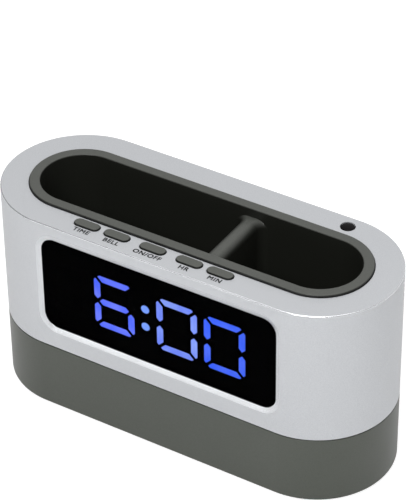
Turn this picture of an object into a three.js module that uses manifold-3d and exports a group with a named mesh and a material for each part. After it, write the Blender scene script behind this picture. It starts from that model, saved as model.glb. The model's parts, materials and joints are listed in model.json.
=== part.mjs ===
// Pen holder clock: a desk clock with rounded ends, a two-compartment pen cup in its top,
// a seven-segment display in its front and a battery bay in its base.
// Millimetres, +Z up, front towards -Y, origin on the resting surface under the middle.
import * as THREE from "three";
import { mergeVertices } from "three/addons/utils/BufferGeometryUtils.js";
import Module from "manifold-3d";

const wasm = await Module();
wasm.setup();

// Counts: an arc in a shape gets twice as many facets as its steps
const arcSteps = 12;
const cornerSteps = 3;
const roundSides = 16;
const smallSides = 12;
const edgeSteps = 2;

// Fits shared by all pieces
const clearance = 0.3;
const overrun = 1;
const weldDistance = 1e-4;

// Body
const bodyLength = 175;
const bodyWidth = 66;
const bodyHeight = 91.3;
const baseHeight = 30.4;
const seamGap = 0.3;
const topEdge = 0.6;
const baseEdge = 0.6;
const shellWall = 2.2;
const topPlate = 2.2;
const baseWall = 3;
const baseFloor = 2.4;
const lipThickness = 1.2;
const lipHeight = 2;
const lipRoot = 1.5;

// Feet
const footProud = 0.8;
const footThickness = 1.6;
const footDiameter = 10;
const footBeyondEnd = 1.5;
const footSetback = 12;

// Case screws, their bosses in the upper shell and their posts in the base
const screwSetback = 8.4;
const screwAngle = Math.PI / 4;
const caseBossDiameter = 6;
const caseBossDrop = 2;
const caseBossHole = 2.6;
const casePostDiameter = 8.4;
const caseHeadDiameter = 5.2;
const caseHeadHeight = 2;
const caseShankDiameter = 2;
const caseShankLength = 14;
const caseSeat = 7;

// Pen cup
const cupMarginEnd = 11.3;
const cupMarginSide = 11.6;
const rimBand = 4.4;
const rimProud = 1;
const rimSkirt = 6.8;
const rimEdge = 1;
const cupWall = 2.1;
const cupFloor = 2.2;
const dividerCentre = 15.15;
const dividerWidth = 7.3;
const dividerDrop = 3;
const compartmentCorner = 4;
const lugWidth = 8;
const lugReach = 1.5;
const lugHeight = 2;
const lugInset = 14.5;

// Window and lens
const windowEndMargin = 31.65;
const windowTopMargin = 4.85;
const windowSeamMargin = 8.45;
const windowCentreX = 0.8;
const windowCorner = 8.5;
const bevelWidth = 2.2;
const bevelDepth = 0.8;

// Display
const displayCentreX = -5.65;
const displayRise = -1.4;
const digitMarginEnd = 10.25;
const digitMarginTop = 11.2;
const strokeShare = 0.127;
const middleBarShare = 0.119;
const segmentGap = 1.3;
const tipCut = 1.6;
const digitGap = 3.15;
const colonGap = 10.5;
const colonDot = 4;
const colonShare = 0.338;
const faceThickness = 1.2;
const faceFlange = 2.6;
const diffuserPlate = 1;
const diffuserMargin = 0.6;
const housingDepth = 4.5;
const housingMargin = 1.2;
const wellWall = 0.8;
const boardThickness = 1.6;
const ledBoardRise = 6.05;
const ledBoardMargin = 1.2;
const lampWidth = 2;
const lampHeight = 1.2;
const lampDepth = 0.8;
const displayPostInset = 8.8;
const displayPostGap = 0.45;
const displayPostDiameter = 4.2;

// Small screws
const smallHeadDiameter = 4.2;
const smallHeadHeight = 1.5;
const smallShankDiameter = 1.8;
const smallShankLength = 5;
const smallHole = 2.4;
const slotWidth = 0.8;
const slotDepth = 0.8;

// Buttons, their board and switches
const buttonCentreX = -5.1;
const buttonLength = 11.3;
const buttonWidth = 4.3;
const buttonProud = 0.7;
const buttonEdge = 0.5;
const buttonSetback = 8.35;
const buttonPitch = 13.9;
const buttonMiddlePitch = 16.6;
const buttonFlange = 0.9;
const buttonFlangeThickness = 1.2;
const switchGap = 0.8;
const switchPlunger = 0.8;
const switchPlungerDiameter = 2.4;
const switchBody = 2.5;
const switchLength = 6;
const switchWidth = 3.6;
const buttonBoardMargin = 9;
const buttonBoardWidth = 8.7;
const buttonBossDiameter = 4.6;
const buttonBossInset = 3;
const buttonBossShift = 1.6;

// Light sensor under a small round lens in the top plate
const sensorBeforeEnd = 2.4;
const sensorSetback = 6.1;
const sensorDiameter = 5.6;
const sensorFlange = 0.65;
const sensorFlangeThickness = 1;
const sensorProud = 0.15;
const sensorBodyDiameter = 5;
const sensorBoardLength = 18;
const sensorBoardWidth = 7;
const sensorPinDiameter = 2;
const sensorPostDiameter = 4;
const sensorPinInset = 3.5;

// Battery bay, cells and contacts
const cellDiameter = 10.5;
const cellLength = 44.5;
const cellNub = 1.2;
const cellNubDiameter = 3.8;
const cellPitch = 11.1;
const cellCount = 3;
const cellRoom = 0.4;
const contactThickness = 0.5;
const contactHeight = 6;
const contactLift = 2.2;
const springLength = 4;
const springDiameter = 6.6;
const springTipDiameter = 5;
const springWire = 0.8;
const springTurns = 3;
const springStepsPerTurn = 8;
const tagWidth = 3;
const tagReach = 2.6;
const bayWall = 1.6;
const bayRoof = 1.6;
const baySide = 0.75;

// Battery door
const doorThickness = 2;
const doorLedge = 1.5;
const doorGap = 0.3;
const doorTabWidth = 3.4;
const doorTabReach = 2.4;
const doorTabThickness = 1.7;
const doorTabRoot = 1.5;
const latchWidth = 8;
const latchThickness = 0.9;
const latchHeight = 3.8;
const latchInset = 0.7;
const nailNotchDiameter = 12;
const nailNotchDepth = 1.1;
const gripLength = 14;
const gripWidth = 1;
const gripDepth = 0.5;
const gripPitch = 2.2;
const gripCount = 4;

// Main board and what stands on it
const mainBoardBayGap = 3.05;
const mainBoardEndGap = 20;
const mainBoardSideGap = 8;
const standoffHeight = 4;
const standoffDiameter = 5;
const standoffInset = 3.5;
const pegHeight = 1.6;
const chipLength = 18;
const chipWidth = 7.5;
const chipHeight = 2.4;
const chipInset = 6.5;
const chipPlaceY = 2;
const canLength = 8;
const canWidth = 3;
const canHeight = 3;
const capacitorDiameter = 5;
const capacitorHeight = 4.6;
const buzzerDiameter = 12;
const buzzerHeight = 5.2;
const buzzerHole = 2.4;
const buzzerHoleDepth = 1.4;
const buzzerInsetX = 4.5;
const buzzerInsetY = 6;
const inletLength = 9;
const inletDepth = 7.2;
const inletHeight = 3.2;
const inletWall = 0.5;
const inletTongue = 0.8;
const inletRibbonGap = 3.5;
const inletRecess = 1.6;

// Cables
const ribbonWidth = 10;
const ribbonThickness = 0.6;
const ribbonInset = 0.5;
const displayRibbonOverlap = 6.1;
const buttonRibbonGap = 5.8;
const buttonRibbonLength = 10;
const sensorRibbonShift = 1.9;
const sensorRibbonSetback = 2.7;
const sensorRibbonWidth = 4;
const leadDiameter = 1.4;
const leadSteps = 14;
const leadGap = 1.1;

// Heights worked out from the sizes above
const baseBottom = footProud;
const floorTop = baseBottom + baseFloor;
const seamHeight = baseBottom + baseHeight;
const shellTop = baseBottom + bodyHeight;
const plateUnder = shellTop - topPlate;
const flangeTop = plateUnder - clearance;
const switchTop = flangeTop - buttonFlangeThickness - switchGap;
const boardTop = switchTop - switchPlunger - switchBody - clearance;
const boardUnder = boardTop - boardThickness;
const doorTop = baseBottom + doorThickness;
const cellAxisHeight = doorTop + cellRoom + cellDiameter / 2;
const bayCeiling = cellAxisHeight + cellDiameter / 2 + clearance;
const cupUnder = bayCeiling + bayRoof + clearance;
const cupInside = cupUnder + cupFloor;
const mainBoardUnder = floorTop + standoffHeight + clearance;
const mainBoardTop = mainBoardUnder + boardThickness;
const mainStand = mainBoardTop + clearance;

// Depths behind the front face
const frontFace = -bodyWidth / 2;
const frontInside = frontFace + shellWall;
const lensFront = frontFace + bevelDepth;
const faceFront = frontInside + clearance;
const faceBack = faceFront + faceThickness;
const diffuserFront = faceBack + clearance;
const diffuserBack = diffuserFront + diffuserPlate;
const housingFront = diffuserBack + clearance;
const housingBack = housingFront + housingDepth;
const ledBoardFront = housingBack + clearance;
const ledBoardBack = ledBoardFront + boardThickness;

// Places that several pieces share
const endCentre = (bodyLength - bodyWidth) / 2;
const screwReach = bodyWidth / 2 - screwSetback;
const cupHoleLength = bodyLength - 2 * cupMarginEnd;
const cupHoleWidth = bodyWidth - 2 * cupMarginSide;
const windowLength = bodyLength - 2 * windowEndMargin;
const windowHeight = bodyHeight - baseHeight - windowTopMargin - windowSeamMargin;
const windowZ = seamHeight + windowSeamMargin + windowHeight / 2;
const digitWidth = (windowLength - 2 * digitMarginEnd - 2 * digitGap - colonGap) / 4;
const digitHeight = windowHeight - 2 * digitMarginTop;
const colonSpread = digitHeight * colonShare;
const strokeWidth = digitHeight * strokeShare;
const middleBar = digitHeight * middleBarShare;
const digitPitch = digitWidth + digitGap;
const colonPitch = digitWidth + colonGap;
const displayZ = windowZ + displayRise;
const housingLength = 3 * digitPitch + colonGap - digitGap + digitWidth + 2 * housingMargin;
const housingHeight = digitHeight + 2 * housingMargin;
const ledBoardHeight = digitHeight + 2 * ledBoardRise;
const displayPostX = housingLength / 2 - displayPostInset;
const displayPostZ = housingHeight / 2 + displayPostDiameter / 2 + displayPostGap;
const buttonPlaceY = frontFace + buttonSetback;
const sensorX = endCentre - sensorBeforeEnd;
const sensorY = bodyWidth / 2 - sensorSetback;
const rimLength = cupHoleLength - 2 * clearance;
const rimWidth = cupHoleWidth - 2 * clearance;
const insideLength = rimLength - 2 * rimBand;
const insideWidth = rimWidth - 2 * rimBand;
const bayLength = cellLength + springLength + 2 * contactThickness + 4 * clearance;
const bayWidth = (cellCount - 1) * cellPitch + cellDiameter + 2 * baySide;
const doorLength = bayLength + 2 * doorLedge;
const doorWidth = bayWidth + 2 * doorLedge;
const mainBoardLeft = doorLength / 2 + bayWall + mainBoardBayGap;
const mainBoardRight = bodyLength / 2 - mainBoardEndGap;
const mainBoardLength = mainBoardRight - mainBoardLeft;
const mainBoardWidth = bodyWidth - 2 * mainBoardSideGap;
const mainBoardCentreX = (mainBoardLeft + mainBoardRight) / 2;
const chipPlaceX = mainBoardLeft + chipInset + chipLength / 2;
const sensorRibbonX = sensorX + sensorRibbonShift;
const inletPlaceX = sensorRibbonX - (sensorRibbonWidth + inletLength) / 2 - inletRibbonGap;
const digitPlaces = [
  -colonPitch / 2 - digitPitch,
  -colonPitch / 2,
  colonPitch / 2,
  colonPitch / 2 + digitPitch,
];
const buttonPlaces = [
  -buttonMiddlePitch - buttonPitch,
  -buttonMiddlePitch,
  0,
  buttonMiddlePitch,
  buttonMiddlePitch + buttonPitch,
];
const caseScrewPlaces = [];
const footPlaces = [];
const displayPosts = [];
for (const sideX of [-1, 1]) {
  for (const sideY of [-1, 1]) {
    caseScrewPlaces.push([
      sideX * (endCentre + screwReach * Math.cos(screwAngle)),
      sideY * screwReach * Math.sin(screwAngle),
    ]);
    footPlaces.push([sideX * (endCentre + footBeyondEnd), sideY * (bodyWidth / 2 - footSetback)]);
  }
  displayPosts.push([displayCentreX + sideX * displayPostX, displayZ + sideX * displayPostZ]);
}
const buttonBossReach =
  buttonMiddlePitch + buttonPitch + buttonLength / 2 + buttonBoardMargin - buttonBossInset;
const buttonBossPlaces = [-buttonBossReach, buttonBossReach];

// Solids
function solid(geometry) {
  geometry.deleteAttribute("normal");
  geometry.deleteAttribute("uv");
  const merged = mergeVertices(geometry, weldDistance);
  return new wasm.Manifold(
    new wasm.Mesh({
      numProp: 3,
      vertProperties: merged.attributes.position.array,
      triVerts: new Uint32Array(merged.index.array),
    }),
  );
}

function block(x0, x1, y0, y1, z0, z1) {
  const geometry = new THREE.BoxGeometry(x1 - x0, y1 - y0, z1 - z0);
  geometry.translate((x0 + x1) / 2, (y0 + y1) / 2, (z0 + z1) / 2);
  return solid(geometry);
}

function rod(diameter, z0, z1, x = 0, y = 0, sides = smallSides) {
  const geometry = new THREE.CylinderGeometry(diameter / 2, diameter / 2, z1 - z0, sides);
  geometry.rotateX(Math.PI / 2);
  geometry.translate(x, y, (z0 + z1) / 2);
  return solid(geometry);
}

function rodAlongY(diameter, y0, y1, x = 0, z = 0, sides = smallSides) {
  const geometry = new THREE.CylinderGeometry(diameter / 2, diameter / 2, y1 - y0, sides);
  geometry.translate(x, (y0 + y1) / 2, z);
  return solid(geometry);
}

function slab(shape, z0, z1, steps = arcSteps) {
  const geometry = new THREE.ExtrudeGeometry(shape, {
    depth: z1 - z0,
    bevelEnabled: false,
    curveSegments: steps,
  });
  geometry.translate(0, 0, z0);
  return solid(geometry);
}

// A slab whose upper or lower outer edge is rounded
function edgedSlab(shape, z0, z1, edge, upper = true, steps = arcSteps) {
  const geometry = new THREE.ExtrudeGeometry(shape, {
    depth: z1 - z0 - edge,
    bevelThickness: edge,
    bevelSize: edge,
    bevelOffset: -edge,
    bevelSegments: edgeSteps,
    curveSegments: steps,
  });
  geometry.translate(0, 0, upper ? z0 : z0 + edge);
  const box = new THREE.Box2().setFromPoints(shape.getPoints());
  const cut = [box.min.x - overrun, box.max.x + overrun, box.min.y - overrun, box.max.y + overrun];
  const beyond = upper ? [z0 - edge - overrun, z0] : [z1, z1 + edge + overrun];
  return solid(geometry).subtract(block(...cut, ...beyond));
}

// A shape drawn in x and z, given depth along y
function frontSlab(shape, y0, y1, steps = cornerSteps) {
  const geometry = new THREE.ExtrudeGeometry(shape, {
    depth: y1 - y0,
    bevelEnabled: false,
    curveSegments: steps,
  });
  geometry.rotateX(Math.PI / 2);
  geometry.translate(0, y1, 0);
  return solid(geometry);
}

function stadium(length, width) {
  const radius = width / 2;
  const reach = length / 2 - radius;
  const shape = new THREE.Shape();
  shape.moveTo(-reach, -radius);
  shape.lineTo(reach, -radius);
  shape.absarc(reach, 0, radius, -Math.PI / 2, Math.PI / 2, false);
  shape.lineTo(-reach, radius);
  shape.absarc(-reach, 0, radius, Math.PI / 2, (3 * Math.PI) / 2, false);
  return shape;
}

function roundedRectangle(length, height, radius, x = 0, z = 0) {
  const right = x + length / 2;
  const left = x - length / 2;
  const high = z + height / 2;
  const low = z - height / 2;
  const shape = new THREE.Shape();
  shape.moveTo(left + radius, low);
  shape.lineTo(right - radius, low);
  shape.absarc(right - radius, low + radius, radius, -Math.PI / 2, 0, false);
  shape.lineTo(right, high - radius);
  shape.absarc(right - radius, high - radius, radius, 0, Math.PI / 2, false);
  shape.lineTo(left + radius, high);
  shape.absarc(left + radius, high - radius, radius, Math.PI / 2, Math.PI, false);
  shape.lineTo(left, low + radius);
  shape.absarc(left + radius, low + radius, radius, Math.PI, (3 * Math.PI) / 2, false);
  return shape;
}

function polygon(points) {
  return new THREE.Shape(points.map(([x, z]) => new THREE.Vector2(x, z)));
}

function material(color, roughness, metalness = 0) {
  return new THREE.MeshStandardMaterial({ color, roughness, metalness });
}

function piece(name, shape, finish) {
  const mesh = shape.getMesh();
  const geometry = new THREE.BufferGeometry();
  geometry.setAttribute("position", new THREE.BufferAttribute(mesh.vertProperties, mesh.numProp));
  geometry.setIndex(new THREE.BufferAttribute(mesh.triVerts, 1));
  geometry.computeVertexNormals();
  const result = new THREE.Mesh(geometry, finish);
  result.name = name;
  return result;
}

function place(mesh, x, y, z) {
  mesh.position.set(x, y, z);
  return mesh;
}

// Finishes
function silverPaint() {
  return material(0xc8cacd, 0.38, 0.25);
}

function darkPlastic() {
  return material(0x5c5f58, 0.5);
}

function blackAcrylic() {
  return material(0x08080a, 0.08);
}

function blackPlastic() {
  return material(0x101010, 0.6);
}

function blueDiffuser() {
  return material(0x5a7dff, 0.4);
}

function whitePlastic() {
  return material(0xe8e8e4, 0.5);
}

function circuitBoard() {
  return material(0x1f5a38, 0.5);
}

function steel() {
  return material(0xb8bcc0, 0.35, 1);
}

function rubber() {
  return material(0x1a1a1a, 0.9);
}

// Upper shell
function windowCut() {
  const inner = roundedRectangle(
    windowLength - 2 * bevelWidth,
    windowHeight - 2 * bevelWidth,
    windowCorner - bevelWidth,
    windowCentreX,
    windowZ,
  );
  const flare = new THREE.ExtrudeGeometry(inner, {
    depth: overrun,
    bevelThickness: bevelDepth,
    bevelSize: bevelWidth,
    bevelSegments: 1,
    curveSegments: cornerSteps,
  });
  flare.rotateX(Math.PI / 2);
  flare.translate(0, frontFace, 0);
  return solid(flare).add(frontSlab(inner, frontFace, frontInside + overrun, cornerSteps));
}

function upperShell() {
  const shellBottom = seamHeight + seamGap;
  let shell = edgedSlab(stadium(bodyLength, bodyWidth), shellBottom, shellTop, topEdge);
  const inside = stadium(bodyLength - 2 * shellWall, bodyWidth - 2 * shellWall);
  shell = shell.subtract(slab(inside, shellBottom - overrun, plateUnder));
  const bossBottom = seamHeight - caseBossDrop;
  for (const [x, y] of caseScrewPlaces) {
    shell = shell.add(rod(caseBossDiameter, bossBottom, plateUnder + topPlate / 2, x, y));
    const holeTop = baseBottom + caseSeat + caseShankLength + overrun;
    shell = shell.subtract(rod(caseBossHole, bossBottom - overrun, holeTop, x, y));
  }
  for (const reach of buttonBossPlaces) {
    const x = buttonCentreX + reach;
    const y = buttonPlaceY - buttonBossShift;
    const bossEnd = boardTop + clearance;
    shell = shell.add(rod(buttonBossDiameter, bossEnd, plateUnder + topPlate / 2, x, y));
    shell = shell.subtract(rod(smallHole, bossEnd - overrun, plateUnder, x, y));
  }
  const pinX = sensorX - sensorBoardLength / 2;
  shell = shell.add(
    rod(sensorPostDiameter, boardTop + clearance, plateUnder + topPlate / 2, pinX, sensorY),
  );
  shell = shell.add(rod(sensorPinDiameter, boardUnder, plateUnder, pinX, sensorY));
  shell = shell.subtract(
    slab(stadium(cupHoleLength, cupHoleWidth), plateUnder - overrun, shellTop + overrun),
  );
  for (const reach of buttonPlaces) {
    const hole = slab(
      stadium(buttonLength + 2 * clearance, buttonWidth + 2 * clearance),
      plateUnder - overrun,
      shellTop + overrun,
      cornerSteps,
    );
    shell = shell.subtract(hole.translate([buttonCentreX + reach, buttonPlaceY, 0]));
  }
  shell = shell.subtract(
    rod(
      sensorDiameter + 2 * clearance,
      plateUnder - overrun,
      shellTop + overrun,
      sensorX,
      sensorY,
      roundSides,
    ),
  );
  return piece("upper_shell", shell.subtract(windowCut()), silverPaint());
}

// Base shell
function baseLip() {
  const lipOuterLength = bodyLength - 2 * (shellWall + clearance);
  const lipOuterWidth = bodyWidth - 2 * (shellWall + clearance);
  const lip = slab(stadium(lipOuterLength, lipOuterWidth), seamHeight - lipRoot, seamHeight + lipHeight);
  const root = slab(
    stadium(bodyLength - baseWall, bodyWidth - baseWall),
    seamHeight - lipRoot,
    seamHeight,
  );
  const hollow = slab(
    stadium(lipOuterLength - 2 * lipThickness, lipOuterWidth - 2 * lipThickness),
    seamHeight - lipRoot - overrun,
    seamHeight + lipHeight + overrun,
  );
  return lip.add(root).subtract(hollow);
}

function batteryBayWalls() {
  const halfLength = bayLength / 2 + bayWall;
  const halfWidth = bayWidth / 2 + bayWall;
  const ledgeLength = doorLength / 2 + bayWall;
  const ledgeWidth = doorWidth / 2 + bayWall;
  const ledge = block(
    -ledgeLength,
    ledgeLength,
    -ledgeWidth,
    ledgeWidth,
    floorTop - baseFloor / 2,
    floorTop + bayWall,
  );
  const walls = block(
    -halfLength,
    halfLength,
    -halfWidth,
    halfWidth,
    floorTop - baseFloor / 2,
    bayCeiling + bayRoof,
  );
  return ledge.add(walls);
}

function batteryBayHollow() {
  const overLedge = doorTop + doorGap;
  let hollow = block(
    -bayLength / 2,
    bayLength / 2,
    -bayWidth / 2,
    bayWidth / 2,
    baseBottom - overrun,
    bayCeiling,
  );
  const openLength = doorLength / 2 + doorGap;
  const openWidth = doorWidth / 2 + doorGap;
  hollow = hollow.add(
    block(-openLength, openLength, -openWidth, openWidth, baseBottom - overrun, overLedge),
  );
  const tabTop = doorTabTop() + doorTabReach / 2 + clearance;
  for (const y of doorTabPlaces()) {
    hollow = hollow.add(
      block(
        -doorLength / 2 - doorTabReach - 2 * clearance,
        -bayLength / 2 + clearance,
        y - doorTabWidth / 2 - clearance,
        y + doorTabWidth / 2 + clearance,
        Math.min(floorTop, overLedge),
        tabTop,
      ),
    );
  }
  hollow = hollow.add(
    block(
      bayLength / 2 - clearance,
      openLength,
      -latchWidth / 2 - clearance,
      latchWidth / 2 + clearance,
      doorTop,
      doorTop + latchHeight + clearance,
    ),
  );
  for (const [side, row] of [
    [-1, 0],
    [1, cellCount - 1],
  ]) {
    const y = cellPlaceY(row);
    const z = cellAxisHeight + contactLift;
    const inner = (side * bayLength) / 2;
    const outer = side * (bayLength / 2 + bayWall + overrun);
    hollow = hollow.add(
      block(
        Math.min(inner, outer) - (side > 0 ? clearance : 0),
        Math.max(inner, outer) + (side < 0 ? clearance : 0),
        y - tagWidth / 2 - clearance,
        y + tagWidth / 2 + clearance,
        z - clearance,
        z + contactThickness + clearance,
      ),
    );
  }
  return hollow;
}

function standoffPlaces() {
  const places = [];
  for (const sideX of [-1, 1]) {
    for (const sideY of [-1, 1]) {
      places.push([
        mainBoardCentreX + sideX * (mainBoardLength / 2 - standoffInset),
        sideY * (mainBoardWidth / 2 - standoffInset),
        sideX * sideY < 0,
      ]);
    }
  }
  return places;
}

function baseShell() {
  let base = edgedSlab(stadium(bodyLength, bodyWidth), baseBottom, seamHeight, baseEdge, false);
  base = base.subtract(
    slab(
      stadium(bodyLength - 2 * baseWall, bodyWidth - 2 * baseWall),
      floorTop,
      seamHeight + overrun,
    ),
  );
  base = base.add(baseLip());
  const postTop = seamHeight - caseBossDrop - clearance;
  const headSeat = baseBottom + caseSeat;
  for (const [x, y] of caseScrewPlaces) {
    base = base.add(rod(casePostDiameter, floorTop - baseFloor / 2, postTop, x, y, roundSides));
    base = base.subtract(
      rod(caseHeadDiameter + 2 * clearance, baseBottom - overrun, headSeat, x, y),
    );
    base = base.subtract(rod(caseBossHole, headSeat - overrun, postTop + overrun, x, y));
  }
  for (const [x, y, screwed] of standoffPlaces()) {
    const standTop = floorTop + standoffHeight;
    base = base.add(rod(standoffDiameter, floorTop - baseFloor / 2, standTop, x, y));
    if (screwed) {
      base = base.subtract(rod(smallHole, floorTop, standTop + overrun, x, y));
    } else {
      base = base.add(rod(smallShankDiameter, standTop - overrun, standTop + pegHeight, x, y));
    }
  }
  base = base.add(batteryBayWalls());
  base = base.subtract(batteryBayHollow());
  base = base.subtract(
    rod(
      nailNotchDiameter,
      baseBottom - overrun,
      baseBottom + nailNotchDepth,
      doorLength / 2,
      0,
      roundSides,
    ),
  );
  for (const [x, y] of footPlaces) {
    const pocket = baseBottom + footThickness - footProud + clearance;
    base = base.subtract(
      rod(footDiameter + 2 * clearance, baseBottom - overrun, pocket, x, y, roundSides),
    );
  }
  base = base.subtract(
    block(
      inletPlaceX - inletLength / 2 - clearance,
      inletPlaceX + inletLength / 2 + clearance,
      bodyWidth / 2 - baseWall - overrun,
      bodyWidth / 2 + overrun,
      mainStand - clearance,
      mainStand + inletHeight + clearance,
    ),
  );
  return piece("base_shell", base, darkPlastic());
}

// Pen cup
function compartment(side, wallX) {
  const radius = insideWidth / 2;
  const reach = insideLength / 2 - radius;
  const corner = compartmentCorner;
  const shape = new THREE.Shape();
  shape.moveTo(wallX + side * corner, -radius);
  shape.lineTo(side * reach, -radius);
  shape.absarc(side * reach, 0, radius, -Math.PI / 2, Math.PI / 2, side < 0);
  shape.lineTo(wallX + side * corner, radius);
  const flat = side > 0 ? Math.PI : 0;
  const down = side > 0 ? (3 * Math.PI) / 2 : -Math.PI / 2;
  shape.absarc(wallX + side * corner, radius - corner, corner, Math.PI / 2, flat, side < 0);
  shape.lineTo(wallX, corner - radius);
  shape.absarc(wallX + side * corner, corner - radius, corner, flat, down, side < 0);
  return shape;
}

function penCup() {
  const rimTop = shellTop + rimProud;
  const dividerTop = shellTop - dividerDrop;
  const rim = edgedSlab(stadium(rimLength, rimWidth), rimTop - rimSkirt, rimTop, rimEdge);
  let cup = slab(
    stadium(insideLength + 2 * cupWall, insideWidth + 2 * cupWall),
    cupUnder,
    rimTop - rimSkirt / 2,
  );
  cup = cup.add(rim);
  for (const side of [-1, 1]) {
    const lugTop = plateUnder - clearance;
    cup = cup.add(
      block(
        side * (endCentre - lugInset) - lugWidth / 2,
        side * (endCentre - lugInset) + lugWidth / 2,
        rimWidth / 2 - rimBand / 2,
        rimWidth / 2 + lugReach,
        lugTop - lugHeight,
        lugTop,
      ),
    );
    const near = side * (rimLength / 2 - rimBand / 2);
    const far = side * (rimLength / 2 + lugReach);
    cup = cup.add(
      block(
        Math.min(near, far),
        Math.max(near, far),
        -lugWidth / 2,
        lugWidth / 2,
        lugTop - lugHeight,
        lugTop,
      ),
    );
  }
  cup = cup.subtract(slab(stadium(insideLength, insideWidth), dividerTop, rimTop + overrun));
  for (const side of [-1, 1]) {
    const wallX = dividerCentre + (side * dividerWidth) / 2;
    cup = cup.subtract(slab(compartment(side, wallX), cupInside, rimTop + overrun));
  }
  return piece("pen_cup", cup, darkPlastic());
}

// Window lens
function windowLens() {
  const outline = roundedRectangle(
    windowLength - 2 * bevelWidth - 2 * clearance,
    windowHeight - 2 * bevelWidth - 2 * clearance,
    windowCorner - bevelWidth - clearance,
    windowCentreX,
    windowZ,
  );
  return piece("window_lens", frontSlab(outline, lensFront, frontInside), blackAcrylic());
}

// Segment outlines of one digit, each as points in x and z about the digit's middle
function segmentOutlines() {
  const halfWidth = digitWidth / 2;
  const halfHeight = digitHeight / 2;
  const miter = segmentGap / Math.SQRT2;
  const tip = tipCut / 2;
  const bar = [
    [-halfWidth + miter + tipCut, halfHeight],
    [-halfWidth + miter + tip, halfHeight - tip],
    [-halfWidth + miter + strokeWidth, halfHeight - strokeWidth],
    [halfWidth - miter - strokeWidth, halfHeight - strokeWidth],
    [halfWidth - miter - tip, halfHeight - tip],
    [halfWidth - miter - tipCut, halfHeight],
  ];
  const post = [
    [-halfWidth, halfHeight - miter - tipCut],
    [-halfWidth, miter + strokeWidth / 2],
    [-halfWidth + strokeWidth / 2, miter],
    [-halfWidth + strokeWidth, miter + strokeWidth / 2],
    [-halfWidth + strokeWidth, halfHeight - miter - strokeWidth],
    [-halfWidth + tip, halfHeight - miter - tip],
  ];
  const endX = halfWidth - strokeWidth / 2 - miter;
  const middle = [
    [-endX, 0],
    [-endX + middleBar / 2, -middleBar / 2],
    [endX - middleBar / 2, -middleBar / 2],
    [endX, 0],
    [endX - middleBar / 2, middleBar / 2],
    [-endX + middleBar / 2, middleBar / 2],
  ];
  const flipX = (points) => points.map(([x, z]) => [-x, z]).reverse();
  const flipZ = (points) => points.map(([x, z]) => [x, -z]).reverse();
  return [bar, flipZ(bar), post, flipX(post), flipZ(post), flipZ(flipX(post)), middle];
}

function grown(points, margin) {
  const middleX = points.reduce((sum, [x]) => sum + x, 0) / points.length;
  const middleZ = points.reduce((sum, [, z]) => sum + z, 0) / points.length;
  const reachX = Math.max(...points.map(([x]) => Math.abs(x - middleX)));
  const reachZ = Math.max(...points.map(([, z]) => Math.abs(z - middleZ)));
  return points.map(([x, z]) => [
    middleX + (x - middleX) * (1 + margin / reachX),
    middleZ + (z - middleZ) * (1 + margin / reachZ),
  ]);
}

// Black face behind the lens, with an opening for each segment
function displayFace() {
  const outline = roundedRectangle(
    windowLength - 2 * bevelWidth + 2 * faceFlange,
    windowHeight - 2 * bevelWidth + 2 * faceFlange,
    windowCorner,
    windowCentreX,
    windowZ,
  );
  let face = frontSlab(outline, faceFront, faceBack);
  for (const [x, z] of displayPosts) {
    const postEnd = ledBoardFront - clearance;
    face = face.add(rodAlongY(displayPostDiameter, faceBack - faceThickness / 2, postEnd, x, z));
    face = face.subtract(rodAlongY(smallHole, faceBack, ledBoardFront, x, z));
  }
  for (const reach of digitPlaces) {
    for (const points of segmentOutlines()) {
      const hole = frontSlab(polygon(grown(points, clearance)), faceFront - overrun, faceBack + overrun);
      face = face.subtract(hole.translate([displayCentreX + reach, 0, displayZ]));
    }
  }
  for (const side of [-1, 1]) {
    const z = displayZ + (side * colonSpread) / 2;
    face = face.subtract(
      rodAlongY(colonDot + 2 * clearance, faceFront - overrun, faceBack + overrun, displayCentreX, z),
    );
  }
  return piece("display_face", face, blackPlastic());
}

function digit(index) {
  const halfWidth = digitWidth / 2 + diffuserMargin;
  const halfHeight = digitHeight / 2 + diffuserMargin;
  let body = block(-halfWidth, halfWidth, diffuserFront, diffuserBack, -halfHeight, halfHeight);
  for (const points of segmentOutlines()) {
    body = body.add(frontSlab(polygon(points), faceFront, diffuserFront + diffuserPlate / 2));
  }
  const mesh = piece("digit_" + (index + 1), body, blueDiffuser());
  return place(mesh, displayCentreX + digitPlaces[index], 0, displayZ);
}

function colonDots() {
  const halfWidth = colonDot / 2 + diffuserMargin;
  const halfHeight = colonSpread / 2 + halfWidth;
  let body = block(-halfWidth, halfWidth, diffuserFront, diffuserBack, -halfHeight, halfHeight);
  for (const side of [-1, 1]) {
    const z = (side * colonSpread) / 2;
    body = body.add(rodAlongY(colonDot, faceFront, diffuserFront + diffuserPlate / 2, 0, z));
  }
  return place(piece("colon_dots", body, blueDiffuser()), displayCentreX, 0, displayZ);
}

function displayHousing() {
  const halfLength = housingLength / 2;
  const halfHeight = housingHeight / 2;
  let body = block(-halfLength, halfLength, housingFront, housingBack, -halfHeight, halfHeight);
  const rowHeight = digitHeight / 2 - wellWall / 2;
  for (const x of digitPlaces) {
    for (const side of [-1, 1]) {
      const z = (side * (rowHeight + wellWall)) / 2;
      body = body.subtract(
        block(
          x - digitWidth / 2,
          x + digitWidth / 2,
          housingFront - overrun,
          housingBack + overrun,
          z - rowHeight / 2,
          z + rowHeight / 2,
        ),
      );
    }
  }
  body = body.subtract(
    block(
      -colonDot / 2,
      colonDot / 2,
      housingFront - overrun,
      housingBack + overrun,
      -colonSpread / 2 - colonDot / 2,
      colonSpread / 2 + colonDot / 2,
    ),
  );
  return place(piece("display_housing", body, whitePlastic()), displayCentreX, 0, displayZ);
}

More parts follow.
